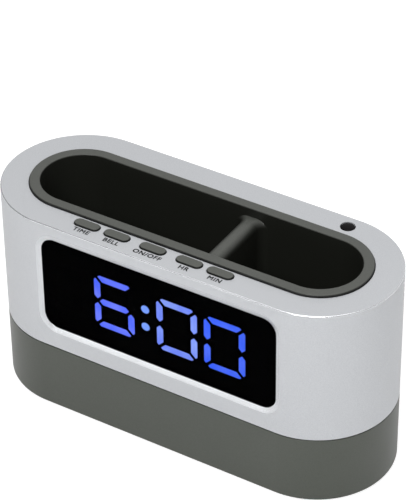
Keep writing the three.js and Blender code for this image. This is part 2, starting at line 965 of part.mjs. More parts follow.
function ledBoard() {
  const halfLength = housingLength / 2 + ledBoardMargin;
  const halfHeight = ledBoardHeight / 2;
  let board = block(-halfLength, halfLength, ledBoardFront, ledBoardBack, -halfHeight, halfHeight);
  const lamp = (x, z) =>
    block(
      x - lampWidth / 2,
      x + lampWidth / 2,
      ledBoardFront - lampDepth,
      ledBoardBack,
      z - lampHeight / 2,
      z + lampHeight / 2,
    );
  const reachX = (digitWidth - strokeWidth) / 2;
  const reachZ = (digitHeight - strokeWidth) / 2;
  for (const x of digitPlaces) {
    for (const side of [-1, 1]) {
      board = board.add(lamp(x, side * reachZ));
      board = board.add(lamp(x - reachX, (side * reachZ) / 2));
      board = board.add(lamp(x + reachX, (side * reachZ) / 2));
    }
  }
  for (const side of [-1, 1]) {
    board = board.add(lamp(0, (side * colonSpread) / 2));
    board = board.subtract(
      rodAlongY(
        smallHole,
        ledBoardFront - overrun,
        ledBoardBack + overrun,
        side * displayPostX,
        side * displayPostZ,
      ),
    );
  }
  return place(piece("led_board", board, circuitBoard()), displayCentreX, 0, displayZ);
}

// Screws: drawn with the head's underside at zero and the shank up
function screwSolid(headDiameter, headHeight, shankDiameter, shankLength) {
  const head = rod(headDiameter, -headHeight, 0, 0, 0, smallSides);
  const slot = block(
    -headDiameter,
    headDiameter,
    -slotWidth / 2,
    slotWidth / 2,
    -headHeight - overrun,
    -headHeight + slotDepth,
  );
  return head.add(rod(shankDiameter, -headHeight / 2, shankLength, 0, 0)).subtract(slot);
}

function caseScrew(index) {
  const body = screwSolid(caseHeadDiameter, caseHeadHeight, caseShankDiameter, caseShankLength);
  const [x, y] = caseScrewPlaces[index];
  const mesh = piece("case_screw_" + (index + 1), body, steel());
  return place(mesh, x, y, baseBottom + caseSeat - clearance);
}

function smallScrew(name, x, y, z, turn) {
  const body = screwSolid(smallHeadDiameter, smallHeadHeight, smallShankDiameter, smallShankLength);
  const mesh = place(piece(name, body, steel()), x, y, z);
  mesh.rotation.x = turn;
  return mesh;
}

// Buttons
function button(name, reach) {
  const capTop = shellTop + buttonProud;
  const flangeBottom = flangeTop - buttonFlangeThickness;
  const cap = edgedSlab(
    stadium(buttonLength, buttonWidth),
    flangeBottom,
    capTop,
    buttonEdge,
    true,
    cornerSteps,
  );
  const flange = slab(
    stadium(buttonLength + 2 * buttonFlange, buttonWidth + 2 * buttonFlange),
    flangeBottom,
    flangeTop,
    cornerSteps,
  );
  return place(piece(name, cap.add(flange), darkPlastic()), buttonCentreX + reach, buttonPlaceY, 0);
}

function tactSwitch(index) {
  const bottom = boardTop + clearance;
  const body = block(
    -switchLength / 2,
    switchLength / 2,
    -switchWidth / 2,
    switchWidth / 2,
    bottom,
    bottom + switchBody,
  );
  const plunger = rod(switchPlungerDiameter, bottom, bottom + switchBody + switchPlunger);
  const mesh = piece("switch_" + (index + 1), body.add(plunger), blackPlastic());
  return place(mesh, buttonCentreX + buttonPlaces[index], buttonPlaceY, 0);
}

function buttonBoard() {
  const halfLength = buttonBossReach + buttonBossInset;
  let board = block(
    -halfLength,
    halfLength,
    -buttonBoardWidth / 2,
    buttonBoardWidth / 2,
    boardUnder,
    boardTop,
  );
  for (const x of buttonBossPlaces) {
    board = board.subtract(rod(smallHole, boardUnder - overrun, boardTop + overrun, x, -buttonBossShift));
  }
  return place(piece("button_board", board, circuitBoard()), buttonCentreX, buttonPlaceY, 0);
}

// Light sensor
function sensorLens() {
  const flangeBottom = flangeTop - sensorFlangeThickness;
  const body = rod(sensorDiameter, flangeBottom, shellTop + sensorProud, 0, 0, roundSides);
  const flange = rod(sensorDiameter + 2 * sensorFlange, flangeBottom, flangeTop, 0, 0, roundSides);
  return place(piece("sensor_lens", body.add(flange), blackAcrylic()), sensorX, sensorY, 0);
}

function lightSensor() {
  const bottom = boardTop + clearance;
  const top = plateUnder - 2 * clearance - sensorFlangeThickness;
  const body = rod(sensorBodyDiameter, bottom, top, 0, 0, smallSides);
  return place(piece("light_sensor", body, whitePlastic()), sensorX, sensorY, 0);
}

function sensorBoard() {
  const left = -sensorBoardLength / 2 - sensorPinInset;
  let board = block(
    left,
    left + sensorBoardLength,
    -sensorBoardWidth / 2,
    sensorBoardWidth / 2,
    boardUnder,
    boardTop,
  );
  board = board.subtract(
    rod(
      sensorPinDiameter + 2 * clearance,
      boardUnder - overrun,
      boardTop + overrun,
      -sensorBoardLength / 2,
      0,
    ),
  );
  return place(piece("sensor_board", board, circuitBoard()), sensorX, sensorY, 0);
}

// Main board
function mainBoard() {
  const halfLength = mainBoardLength / 2;
  const halfWidth = mainBoardWidth / 2;
  let board = block(
    mainBoardCentreX - halfLength,
    mainBoardCentreX + halfLength,
    -halfWidth,
    halfWidth,
    mainBoardUnder,
    mainBoardTop,
  );
  for (const [x, y] of standoffPlaces()) {
    board = board.subtract(rod(smallHole, mainBoardUnder - overrun, mainBoardTop + overrun, x, y));
  }
  const canX = chipPlaceX + chipLength / 2;
  const canY = chipPlaceY + chipWidth;
  board = board.add(
    block(
      canX - canLength / 2,
      canX + canLength / 2,
      canY - canWidth / 2,
      canY + canWidth / 2,
      mainBoardUnder + boardThickness / 2,
      mainBoardTop + canHeight,
    ),
  );
  board = board.add(
    rod(
      capacitorDiameter,
      mainBoardUnder + boardThickness / 2,
      mainBoardTop + capacitorHeight,
      chipPlaceX - chipLength / 4,
      chipPlaceY + chipWidth + capacitorDiameter / 2,
    ),
  );
  return piece("main_board", board, circuitBoard());
}

function clockChip() {
  const body = block(
    -chipLength / 2,
    chipLength / 2,
    -chipWidth / 2,
    chipWidth / 2,
    mainStand,
    mainStand + chipHeight,
  );
  return place(piece("clock_chip", body, blackPlastic()), chipPlaceX, chipPlaceY, 0);
}

function buzzer() {
  const top = mainStand + buzzerHeight;
  const can = rod(buzzerDiameter, mainStand, top, 0, 0, roundSides);
  const hole = rod(buzzerHole, top - buzzerHoleDepth, top + overrun);
  const x = mainBoardRight - buzzerInsetX - buzzerDiameter / 2;
  const y = buzzerInsetY + buzzerDiameter / 2 - mainBoardWidth / 2;
  return place(piece("buzzer", can.subtract(hole), blackPlastic()), x, y, 0);
}

function powerInlet() {
  const rear = bodyWidth / 2 - inletRecess;
  const outer = block(
    -inletLength / 2,
    inletLength / 2,
    rear - inletDepth,
    rear,
    mainStand,
    mainStand + inletHeight,
  );
  const hollow = block(
    -inletLength / 2 + inletWall,
    inletLength / 2 - inletWall,
    rear - inletDepth + inletWall,
    rear + overrun,
    mainStand + inletWall,
    mainStand + inletHeight - inletWall,
  );
  const middle = mainStand + inletHeight / 2;
  const tongue = block(
    -inletLength / 2 + 3 * inletWall,
    inletLength / 2 - 3 * inletWall,
    rear - inletDepth + inletWall / 2,
    rear - inletDepth / 3,
    middle - inletTongue / 2,
    middle + inletTongue / 2,
  );
  return place(piece("power_inlet", outer.subtract(hollow).add(tongue), steel()), inletPlaceX, 0, 0);
}

// Battery cells, with every second one turned round
function cellPlaceY(row) {
  return (row - (cellCount - 1) / 2) * cellPitch;
}

function cellFacing(row) {
  return row % 2 === 0 ? -1 : 1;
}

function cell(row) {
  const profile = [
    [0, 0],
    [cellDiameter / 2, 0],
    [cellDiameter / 2, cellLength - cellNub],
    [cellNubDiameter / 2, cellLength - cellNub],
    [cellNubDiameter / 2, cellLength],
    [0, cellLength],
  ].map(([radius, along]) => new THREE.Vector2(radius, along));
  const geometry = new THREE.LatheGeometry(profile, roundSides);
  geometry.rotateZ(-Math.PI / 2);
  const facing = cellFacing(row);
  const mesh = piece("battery_" + (row + 1), solid(geometry), steel());
  mesh.rotation.z = facing > 0 ? 0 : Math.PI;
  const start = -facing * (bayLength / 2 - contactThickness - 2 * clearance - springLength - clearance);
  return place(mesh, start, cellPlaceY(row), cellAxisHeight);
}

// Conical contact spring, its wide end at zero and its axis along +X
function springSolid() {
  const steps = springTurns * springStepsPerTurn;
  const points = [];
  for (let step = 0; step <= steps; step += 1) {
    const share = step / steps;
    const angle = share * springTurns * 2 * Math.PI;
    const radius = (springDiameter + (springTipDiameter - springDiameter) * share - springWire) / 2;
    const along = springWire / 2 + share * (springLength - springWire);
    points.push(new THREE.Vector3(along, radius * Math.cos(angle), radius * Math.sin(angle)));
  }
  const section = new THREE.Shape();
  section.absarc(0, 0, springWire / 2, 0, 2 * Math.PI, false);
  const geometry = new THREE.ExtrudeGeometry(section, {
    steps,
    curveSegments: cornerSteps,
    bevelEnabled: false,
    extrudePath: new THREE.CatmullRomCurve3(points),
  });
  return solid(geometry);
}

// A contact plate at one end of the bay; rows lists the cells that it joins
function contact(name, side, rows, tagged) {
  const inner = bayLength / 2 - clearance - contactThickness;
  const first = cellPlaceY(rows[0]) - contactHeight / 2;
  const last = cellPlaceY(rows[rows.length - 1]) + contactHeight / 2;
  const low = cellAxisHeight - contactLift;
  let body = block(inner, inner + contactThickness, first, last, low, low + contactHeight);
  for (const row of rows) {
    if (cellFacing(row) !== side) {
      const spring = springSolid().rotate([0, 0, 180]);
      body = body.add(spring.translate([inner + springWire / 2, cellPlaceY(row), cellAxisHeight]));
    }
  }
  if (tagged) {
    const tagLow = cellAxisHeight + contactLift;
    body = body.add(
      block(
        inner + contactThickness / 2,
        bayLength / 2 + bayWall + tagReach,
        cellPlaceY(rows[0]) - tagWidth / 2,
        cellPlaceY(rows[0]) + tagWidth / 2,
        tagLow,
        tagLow + contactThickness,
      ),
    );
  }
  return piece(name, side > 0 ? body : body.mirror([1, 0, 0]), steel());
}

// Battery door, hinged at its -X edge on two tabs that reach over the base floor
function doorTabPlaces() {
  return [-cellPitch / 2, cellPitch / 2];
}

function doorTabTop() {
  return floorTop + clearance + doorTabThickness;
}

function batteryDoor() {
  const halfLength = doorLength / 2;
  const halfWidth = doorWidth / 2;
  let door = block(-halfLength, halfLength, -halfWidth, halfWidth, baseBottom, doorTop);
  for (const y of doorTabPlaces()) {
    const left = y - doorTabWidth / 2;
    const right = y + doorTabWidth / 2;
    door = door.add(
      block(-halfLength, -halfLength + doorTabRoot, left, right, doorTop - doorThickness / 2, doorTabTop()),
    );
    door = door.add(
      block(
        -halfLength - doorTabReach,
        -halfLength + doorTabRoot,
        left,
        right,
        floorTop + clearance,
        doorTabTop(),
      ),
    );
  }
  door = door.add(
    block(
      halfLength - latchInset - latchThickness,
      halfLength - latchInset,
      -latchWidth / 2,
      latchWidth / 2,
      doorTop - doorThickness / 2,
      doorTop + latchHeight,
    ),
  );
  for (let row = 0; row < gripCount; row += 1) {
    const x = halfLength - (row + 1.5) * gripPitch;
    door = door.subtract(
      block(
        x - gripWidth / 2,
        x + gripWidth / 2,
        -gripLength / 2,
        gripLength / 2,
        baseBottom - overrun,
        baseBottom + gripDepth,
      ),
    );
  }
  return piece("battery_door", door, darkPlastic());
}

function foot(index) {
  const [x, y] = footPlaces[index];
  const mesh = piece("foot_" + (index + 1), rod(footDiameter, 0, footThickness, 0, 0, roundSides), rubber());
  return place(mesh, x, y, 0);
}

// Flat cables between the boards
function ribbon(name, x, y, width, z0, z1) {
  const body = block(-width / 2, width / 2, -ribbonThickness / 2, ribbonThickness / 2, z0, z1);
  return place(piece(name, body, material(0xb9bcc2, 0.5)), x, y, 0);
}

// Round leads from the battery contacts to the main board
function lead(name, points, color) {
  const section = new THREE.Shape();
  section.absarc(0, 0, leadDiameter / 2, 0, 2 * Math.PI, false);
  const geometry = new THREE.ExtrudeGeometry(section, {
    steps: leadSteps,
    curveSegments: cornerSteps,
    bevelEnabled: false,
    extrudePath: new THREE.CatmullRomCurve3(points.map((point) => new THREE.Vector3(...point))),
  });
  return piece(name, solid(geometry), material(color, 0.5));
}

function batteryLeads() {
  const tagEnd = bayLength / 2 + bayWall + tagReach;
  const tagLow = cellAxisHeight + contactLift;
  const aside = bayWidth / 2 + bayWall + leadGap;
  const run = tagLow - leadDiameter;
  const boardEdge = mainBoardCentreX - mainBoardLength / 2 - clearance;
  const under = tagLow - clearance - leadDiameter / 2;
  const startX = tagEnd - leadDiameter;
  const plus = [
    [-startX, cellPlaceY(0), under],
    [-startX, cellPlaceY(0) - cellPitch / 2, run],
    [-startX, -aside, run],
    [0, -aside, run],
    [bayLength / 2, -aside, run],
    [boardEdge - leadDiameter, -aside, mainBoardUnder + boardThickness / 2],
    [boardEdge, -aside, mainBoardUnder + boardThickness / 2],
  ];
  const minus = [
    [startX, cellPlaceY(cellCount - 1), under],
    [startX, cellPlaceY(cellCount - 1) + cellPitch / 3, run],
    [boardEdge - leadDiameter, aside, mainBoardUnder + boardThickness / 2],
    [boardEdge, aside, mainBoardUnder + boardThickness / 2],
  ];
  return [lead("battery_lead_plus", plus, 0xa02020), lead("battery_lead_minus", minus, 0x202020)];
}

// The whole clock, group by group
const casing = new THREE.Group();
casing.add(upperShell(), baseShell(), penCup());
for (let index = 0; index < caseScrewPlaces.length; index += 1) {
  casing.add(caseScrew(index));
  casing.add(foot(index));
}

const display = new THREE.Group();
display.add(windowLens(), displayFace(), colonDots(), displayHousing(), ledBoard());
for (let index = 0; index < digitPlaces.length; index += 1) {
  display.add(digit(index));
}
displayPosts.forEach(([x, z], index) => {
  display.add(smallScrew("display_screw_" + (index + 1), x, ledBoardBack + clearance, z, Math.PI / 2));
});

const controls = new THREE.Group();
const buttonNames = ["time_button", "alarm_button", "snooze_button", "hour_button", "minute_button"];
buttonNames.forEach((name, index) => {
  controls.add(button(name, buttonPlaces[index]));
  controls.add(tactSwitch(index));
});
controls.add(buttonBoard());
buttonBossPlaces.forEach((reach, index) => {
  const x = buttonCentreX + reach;
  const y = buttonPlaceY - buttonBossShift;
  controls.add(smallScrew("button_screw_" + (index + 1), x, y, boardUnder - clearance, 0));
});
controls.add(sensorLens(), lightSensor(), sensorBoard());

const electronics = new THREE.Group();
electronics.add(mainBoard(), clockChip(), buzzer(), powerInlet());
standoffPlaces()
  .filter(([, , screwed]) => screwed)
  .forEach(([x, y], index) => {
    electronics.add(smallScrew("main_screw_" + (index + 1), x, y, mainBoardTop + clearance, Math.PI));
  });
const ribbonPlaceY = ledBoardBack + clearance + ribbonThickness / 2;
const displayRibbonX = mainBoardLeft + ribbonInset + ribbonWidth / 2;
const buttonRibbonX =
  displayCentreX + displayPostX - (smallHeadDiameter + ribbonWidth) / 2 - buttonRibbonGap;
const displayRibbonTop = displayZ - ledBoardHeight / 2 + displayRibbonOverlap;
electronics.add(
  ribbon("display_ribbon", displayRibbonX, ribbonPlaceY, ribbonWidth, mainStand, displayRibbonTop),
  ribbon(
    "button_ribbon",
    buttonRibbonX,
    ribbonPlaceY,
    ribbonWidth,
    boardUnder - clearance - buttonRibbonLength,
    boardUnder - clearance,
  ),
  ribbon(
    "sensor_ribbon",
    sensorRibbonX,
    sensorY - sensorRibbonSetback,
    sensorRibbonWidth,
    mainStand,
    boardUnder - clearance,
  ),
);

const power = new THREE.Group();
power.add(batteryDoor());
for (let row = 0; row < cellCount; row += 1) {
  power.add(cell(row));
}
power.add(
  contact("contact_1", -1, [0], true),
  contact("contact_2", 1, [0, 1], false),
  contact("contact_3", -1, [1, 2], false),
  contact("contact_4", 1, [2], true),
  ...batteryLeads(),
);

const penHolderClock = new THREE.Group();
penHolderClock.add(casing, display, controls, electronics, power);

export default penHolderClock;
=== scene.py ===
# Pen holder clock: satin silver upper shell, dark moulded base and cup, lit segment display.
import json
import math

import bmesh
import bpy
from mathutils import Matrix, Vector

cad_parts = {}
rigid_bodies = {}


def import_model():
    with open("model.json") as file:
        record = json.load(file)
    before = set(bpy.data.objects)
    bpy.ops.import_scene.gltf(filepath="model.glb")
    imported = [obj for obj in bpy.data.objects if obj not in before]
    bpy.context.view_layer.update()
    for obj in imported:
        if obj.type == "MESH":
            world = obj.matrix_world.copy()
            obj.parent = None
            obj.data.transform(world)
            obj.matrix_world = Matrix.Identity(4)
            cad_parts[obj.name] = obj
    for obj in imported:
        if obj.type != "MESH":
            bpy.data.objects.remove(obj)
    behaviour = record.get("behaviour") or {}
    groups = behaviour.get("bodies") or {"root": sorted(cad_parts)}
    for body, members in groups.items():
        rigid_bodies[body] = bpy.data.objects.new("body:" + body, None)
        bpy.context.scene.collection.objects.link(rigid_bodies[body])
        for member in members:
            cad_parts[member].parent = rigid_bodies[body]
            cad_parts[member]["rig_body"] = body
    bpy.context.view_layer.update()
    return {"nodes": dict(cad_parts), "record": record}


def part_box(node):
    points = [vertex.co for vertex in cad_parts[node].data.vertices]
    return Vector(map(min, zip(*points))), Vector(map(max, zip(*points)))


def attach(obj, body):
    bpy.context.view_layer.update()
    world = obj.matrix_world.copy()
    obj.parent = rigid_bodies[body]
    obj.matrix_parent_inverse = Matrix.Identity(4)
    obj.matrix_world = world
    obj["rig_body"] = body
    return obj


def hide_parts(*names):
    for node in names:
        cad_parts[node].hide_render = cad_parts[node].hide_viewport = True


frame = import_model()
mm = 0.001


# sRGB hex code to the linear colour that Blender works in
def hexToLinear(code):
    channels = [int(code[i:i + 2], 16) / 255 for i in (0, 2, 4)]
    linear = [c / 12.92 if c <= 0.04045 else ((c + 0.055) / 1.055) ** 2.4 for c in channels]
    return (*linear, 1.0)


# settings are socket values or properties, links give a source node and its output
def addNode(tree, kind, settings=None, links=None):
    node = tree.nodes.new(kind)
    for key, value in (settings or {}).items():
        if isinstance(key, int) or key in node.inputs:
            node.inputs[key].default_value = value
        else:
            setattr(node, key, value)
    for key, (source, output) in (links or {}).items():
        tree.links.new(source.outputs[output], node.inputs[key])
    return node


def newMaterial(name):
    material = bpy.data.materials.new(name)
    material.use_nodes = True
    material.node_tree.nodes.clear()
    return material, material.node_tree


def finishMaterial(tree, shader):
    addNode(tree, "ShaderNodeOutputMaterial", links={"Surface": (shader, 0)})


# pattern scale: how many noise cells fit in one metre for a grain of so many millimetres
def perMetre(grain):
    return 1 / (grain * mm)


def mottledColour(tree, place, hexA, hexB, grain, detail=3.0):
    noise = addNode(tree, "ShaderNodeTexNoise", {"Scale": perMetre(grain), "Detail": detail},
                    {"Vector": (place, "Object")})
    ramp = addNode(tree, "ShaderNodeValToRGB", links={"Fac": (noise, "Fac")})
    for stop, position, code in zip(ramp.color_ramp.elements, (0.3, 0.7), (hexA, hexB)):
        stop.position = position
        stop.color = hexToLinear(code)
    return ramp


def noiseBump(tree, place, grain, height):
    noise = addNode(tree, "ShaderNodeTexNoise", {"Scale": perMetre(grain), "Detail": 2.0},
                    {"Vector": (place, "Object")})
    return addNode(tree, "ShaderNodeBump", {"Strength": 1.0, "Distance": height * mm},
                   {"Height": (noise, "Fac")})


def roughnessRange(tree, place, grain, low, high):
    noise = addNode(tree, "ShaderNodeTexNoise", {"Scale": perMetre(grain), "Detail": 4.0},
                    {"Vector": (place, "Object")})
    return addNode(tree, "ShaderNodeMapRange", {"To Min": low, "To Max": high},
                   {"Value": (noise, "Fac")})


# ABS sprayed with satin silver lacquer: its flakes give a fine sparkle and a slightly uneven sheen
# real flakes are under 0.05 mm, drawn coarser so that they show
def sprayedSatinLacquer():
    look = {"dark": "bfc1c5", "light": "cdcfd2", "flake": 0.35, "flakeHeight": 0.006,
            "roughLow": 0.36, "roughHigh": 0.46, "patch": 18, "metallic": 0.35,
            "coat": 0.12, "coatRough": 0.12}
    material, tree = newMaterial("sprayedSatinLacquer")
    place = addNode(tree, "ShaderNodeTexCoord")
    colour = mottledColour(tree, place, look["dark"], look["light"], look["flake"])
    bump = noiseBump(tree, place, look["flake"], look["flakeHeight"])
    rough = roughnessRange(tree, place, look["patch"], look["roughLow"], look["roughHigh"])
    shader = addNode(tree, "ShaderNodeBsdfPrincipled",
                     {"Metallic": look["metallic"], "IOR": 1.5, "Coat Weight": look["coat"],
                      "Coat Roughness": look["coatRough"]},
                     {"Base Color": (colour, "Color"), "Normal": (bump, "Normal"),
                      "Roughness": (rough, "Result")})
    finishMaterial(tree, shader)
    return material


# painted highlight: a lighter, mirror-like copy of the silver for the lines along the shell's edges and
# window
def paintedHighlightMetal(name, dark, light, roughLow, roughHigh):
    look = {"patch": 12, "metallic": 0.9}
    material, tree = newMaterial(name)
    place = addNode(tree, "ShaderNodeTexCoord")
    colour = mottledColour(tree, place, dark, light, look["patch"])
    rough = roughnessRange(tree, place, look["patch"], roughLow, roughHigh)
    shader = addNode(tree, "ShaderNodeBsdfPrincipled", {"Metallic": look["metallic"]},
                     {"Base Color": (colour, "Color"), "Roughness": (rough, "Result")})
    finishMaterial(tree, shader)
    return material


# ABS moulded in a spark-eroded mould: dull and fine grained; given a side colour, it darkens upright
# faces with painted shade
# real grain is about 0.1 mm, drawn coarser so that it shows
def mouldedAbs(name, dark, light, roughLow, roughHigh, side=None, coat=0.0):
    look = {"grain": 0.45, "grainHeight": 0.012, "patch": 25, "shadeFall": 3.0, "shadedSideSheen": 0.2,
            "topSheen": 0.5, "coatRough": 0.28}
    material, tree = newMaterial(name)
    place = addNode(tree, "ShaderNodeTexCoord")
    colour = mottledColour(tree, place, dark, light, look["grain"])
    bump = noiseBump(tree, place, look["grain"], look["grainHeight"])
    rough = roughnessRange(tree, place, look["patch"], roughLow, roughHigh)
    links = {"Base Color": (colour, "Color"), "Normal": (bump, "Normal"),
             "Roughness": (rough, "Result")}
    if side:
        # painted shade: the steeper a face stands, the more of the darker side colour and the less
        # sheen it takes
        surface = addNode(tree, "ShaderNodeNewGeometry")
        split = addNode(tree, "ShaderNodeSeparateXYZ", links={"Vector": (surface, "Normal")})
        up = addNode(tree, "ShaderNodeMath", {"operation": "MAXIMUM", 1: 0.0}, {0: (split, "Z")})
        unshadedShare = addNode(tree, "ShaderNodeMath", {"operation": "POWER", 1: look["shadeFall"]}, {0: (up, 0)})
        mixed = addNode(tree, "ShaderNodeMix", {"data_type": "RGBA", 6: hexToLinear(side)},
                        {"Factor": (unshadedShare, 0), 7: (colour, "Color")})
        sheen = addNode(tree, "ShaderNodeMapRange",
                        {"To Min": look["shadedSideSheen"], "To Max": look["topSheen"]},
                        {"Value": (unshadedShare, 0)})
        links["Base Color"] = (mixed, 2)
        links["Specular IOR Level"] = (sheen, "Result")
    shader = addNode(tree, "ShaderNodeBsdfPrincipled",
                     {"IOR": 1.53, "Coat Weight": coat, "Coat Roughness": look["coatRough"]}, links)
    finishMaterial(tree, shader)
    return material


# cast acrylic, smoked, with an anti-reflective face: black but for what is lit behind it
def castSmokedAcrylic():
    look = {"dark": "a4a4ac", "light": "acacb4", "patch": 30, "shine": 0.001, "roughLow": 0.02,
            "roughHigh": 0.05}
    material, tree = newMaterial("castSmokedAcrylic")
    place = addNode(tree, "ShaderNodeTexCoord")
    tint = mottledColour(tree, place, look["dark"], look["light"], look["patch"])
    rough = roughnessRange(tree, place, look["patch"], look["roughLow"], look["roughHigh"])
    clearPart = addNode(tree, "ShaderNodeBsdfTransparent", links={"Color": (tint, "Color")})
    shine = addNode(tree, "ShaderNodeBsdfGlossy", {"Color": (1, 1, 1, 1)},
                    {"Roughness": (rough, "Result")})
    shader = addNode(tree, "ShaderNodeMixShader", {"Fac": look["shine"]},
                     {1: (clearPart, 0), 2: (shine, 0)})
    finishMaterial(tree, shader)
    return material


# milky polycarbonate, moulded and lit from behind by blue lamps: brightest near each lamp
def litPolycarbonate(name, deep, pale):
    look = {"cloud": 7, "strength": 5.1, "rough": 0.5}
    material, tree = newMaterial(name)
    place = addNode(tree, "ShaderNodeTexCoord")
    colour = mottledColour(tree, place, deep, pale, look["cloud"], 1.0)
    shader = addNode(tree, "ShaderNodeBsdfPrincipled",
                     {"Base Color": (0, 0, 0, 1), "Roughness": look["rough"], "IOR": 1.58,
                      "Emission Strength": look["strength"]},
                     {"Emission Color": (colour, "Color")})
    finishMaterial(tree, shader)
    return material


# any plain small part: one grain of colour and a light texture
def plainFinish(name, dark, light, grain, roughness, metallic=0.0, height=0.004, sheen=0.5):
    material, tree = newMaterial(name)
    place = addNode(tree, "ShaderNodeTexCoord")
    colour = mottledColour(tree, place, dark, light, grain)
    bump = noiseBump(tree, place, grain, height)
    shader = addNode(tree, "ShaderNodeBsdfPrincipled",
                     {"Metallic": metallic, "Roughness": roughness, "Specular IOR Level": sheen},
                     {"Base Color": (colour, "Color"), "Normal": (bump, "Normal")})
    finishMaterial(tree, shader)
    return material


finishes = {
    "silver": sprayedSatinLacquer(),
    # painted highlights: bright narrow lines, which also reflect the lamps
    "bevel": paintedHighlightMetal("paintedHighlightBevelMetal", "d4d6d9", "dee0e3", 0.2, 0.26),
    "edge": paintedHighlightMetal("paintedHighlightEdgeMetal", "e2e4e7", "eceef1", 0.2, 0.26),
    # warm dark grey with a soft sheen; the shaded one for the edge next to the table
    "base": mouldedAbs("mouldedTexturedAbs", "3c4038", "454941", 0.5, 0.62, coat=0.45),
    # painted shade: the cup and the keys darken their upright faces
    "cup": mouldedAbs("mouldedSatinAbs", "464844", "50524d", 0.42, 0.52, "1c1d19", 0.2),
    "under": mouldedAbs("mouldedShadedAbs", "2c2e2a", "343630", 0.5, 0.62),
    "key": mouldedAbs("mouldedKeyAbs", "4b4d49", "555752", 0.4, 0.5, "161714"),
    "lens": castSmokedAcrylic(),
    # a small dark eye with one point of light
    "sensor": plainFinish("mouldedDarkAcrylic", "060405", "0a0607", 1.5, 0.1, sheen=0.15),
    # swallow all light, so that only the lit segments are seen
    "mask": plainFinish("printedMattInk", "020202", "040404", 0.5, 0.7, sheen=0.05),
    "unlit": plainFinish("mouldedDarkPolycarbonate", "020203", "040405", 2.0, 0.5, sheen=0.05),
    # flat dark print
    "ink": plainFinish("padPrintedInk", "101214", "1a1c1f", 0.2, 0.6, height=0.001),
    # glowing blue, each a little paler or deeper, as their lamps differ
    "litLeft": litPolycarbonate("litPolycarbonateA", "5773ff", "798bff"),
    "litMiddle": litPolycarbonate("litPolycarbonateB", "819cff", "a0bcff"),
    "litRight": litPolycarbonate("litPolycarbonateC", "446fff", "6082ff"),
    "litDots": litPolycarbonate("litPolycarbonateD", "7da7ff", "8bb5ff"),
    # lacquered fibreglass: glossy green
    "board": plainFinish("lacqueredFibreglass", "14502c", "1c6638", 1.5, 0.35),
    # plain, slightly waxy plastics
    "white": plainFinish("mouldedWhiteAbs", "dcdcd6", "e8e8e4", 1.0, 0.45),
    "black": plainFinish("mouldedBlackNylon", "0c0c0c", "161616", 0.6, 0.5),
    # drawn and plated: small bright glints
    "steel": plainFinish("nickelPlatedSteel", "a9adb0", "c2c6c9", 0.3, 0.32, 1.0),
    # shrunk-on film with a metallic print: a dull shine
    "cell": plainFinish("shrunkMetallicFilm", "3a3f46", "4a5058", 2.5, 0.35, 0.6),
    # dull and black, with no shine
    "rubber": plainFinish("mouldedRubber", "141414", "202020", 0.5, 0.85),
    # extruded insulation: a soft sheen, mottled at the flat cable's wire pitch of 1.27 mm
    "ribbon": plainFinish("extrudedGreyVinyl", "a9adb2", "bcc0c6", 1.27, 0.5),
    "red": plainFinish("extrudedRedVinyl", "8f1c1c", "a62626", 0.8, 0.45),
}
print("materials:", len(finishes))


# one piece of the model: smooth faces with sharp edges kept, riding on its body
def addPiece(name, mesh, material, body, replaced=(), angle=35):
    mesh.materials.clear()
    mesh.materials.append(finishes[material])
    for polygon in mesh.polygons:
        polygon.use_smooth = True
    mesh.set_sharp_from_angle(angle=math.radians(angle))
    piece = bpy.data.objects.new(name, mesh)
    bpy.context.scene.collection.objects.link(piece)
    normals = piece.modifiers.new("normals", "WEIGHTED_NORMAL")
    normals.keep_sharp = True
    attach(piece, body)
    if replaced:
        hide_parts(*replaced)
    return piece


# a closed mesh through rings with the same number of points
def loft(rings):
    bm = bmesh.new()
    rows = [[bm.verts.new(point) for point in ring] for ring in rings]
    count = len(rings[0])
    for low, high in zip(rows, rows[1:]):
        for i in range(count):
            bm.faces.new((low[i], low[(i + 1) % count], high[(i + 1) % count], high[i]))
    bm.faces.new(list(reversed(rows[0])))
    bm.faces.new(rows[-1])
    bmesh.ops.recalc_face_normals(bm, faces=bm.faces)
    mesh = bpy.data.meshes.new("loft")
    bm.to_mesh(mesh)
    bm.free()
    return mesh


# two half circles joined by straight sides, as the clock is seen from above
def stadiumRing(length, width, z, x=0.0, y=0.0, steps=56):
    radius = width / 2
    reach = length / 2 - radius
    ring = []
    for side, start in ((1, -90), (-1, 90)):
        for i in range(steps + 1):
            angle = math.radians(start + 180 * i / steps)
            ring.append((x + side * reach + radius * math.cos(angle), y + radius * math.sin(angle), z))
    return ring


def circleRing(diameter, z, x=0.0, y=0.0, steps=48):
    turn = [2 * math.pi * i / steps for i in range(steps)]
    return [(x + diameter / 2 * math.cos(a), y + diameter / 2 * math.sin(a), z) for a in turn]


# a rounded rectangle in x and z at depth y, grown outwards by so much
def windowRing(box, grow, radius, y, steps=10):
    left, right, low, high = box[0] - grow, box[1] + grow, box[2] - grow, box[3] + grow
    corner = radius + grow
    centres = ((right - corner, low + corner, -90), (right - corner, high - corner, 0),
               (left + corner, high - corner, 90), (left + corner, low + corner, 180))
    ring = []
    for x, z, start in centres:
        for i in range(steps + 1):
            angle = math.radians(start + 90 * i / steps)
            ring.append((x + corner * math.cos(angle), y, z + corner * math.sin(angle)))
    return ring


# how far in from the wall and down from the top an edge rounding is, from the wall to the top
def rounding(radius, steps=5):
    turns = [math.radians(90 * i / steps) for i in range(steps + 1)]
    return [(radius * (1 - math.cos(t)), radius * (1 - math.sin(t))) for t in turns]


def blockMesh(x0, x1, y0, y1, z0, z1):
    low = [(x0, y0, z0), (x1, y0, z0), (x1, y1, z0), (x0, y1, z0)]
    return loft([low, [(x, y, z1) for x, y, z in low]])


def rodMesh(diameter, z0, z1, x=0.0, y=0.0, steps=32):
    return loft([circleRing(diameter, z0, x, y, steps), circleRing(diameter, z1, x, y, steps)])


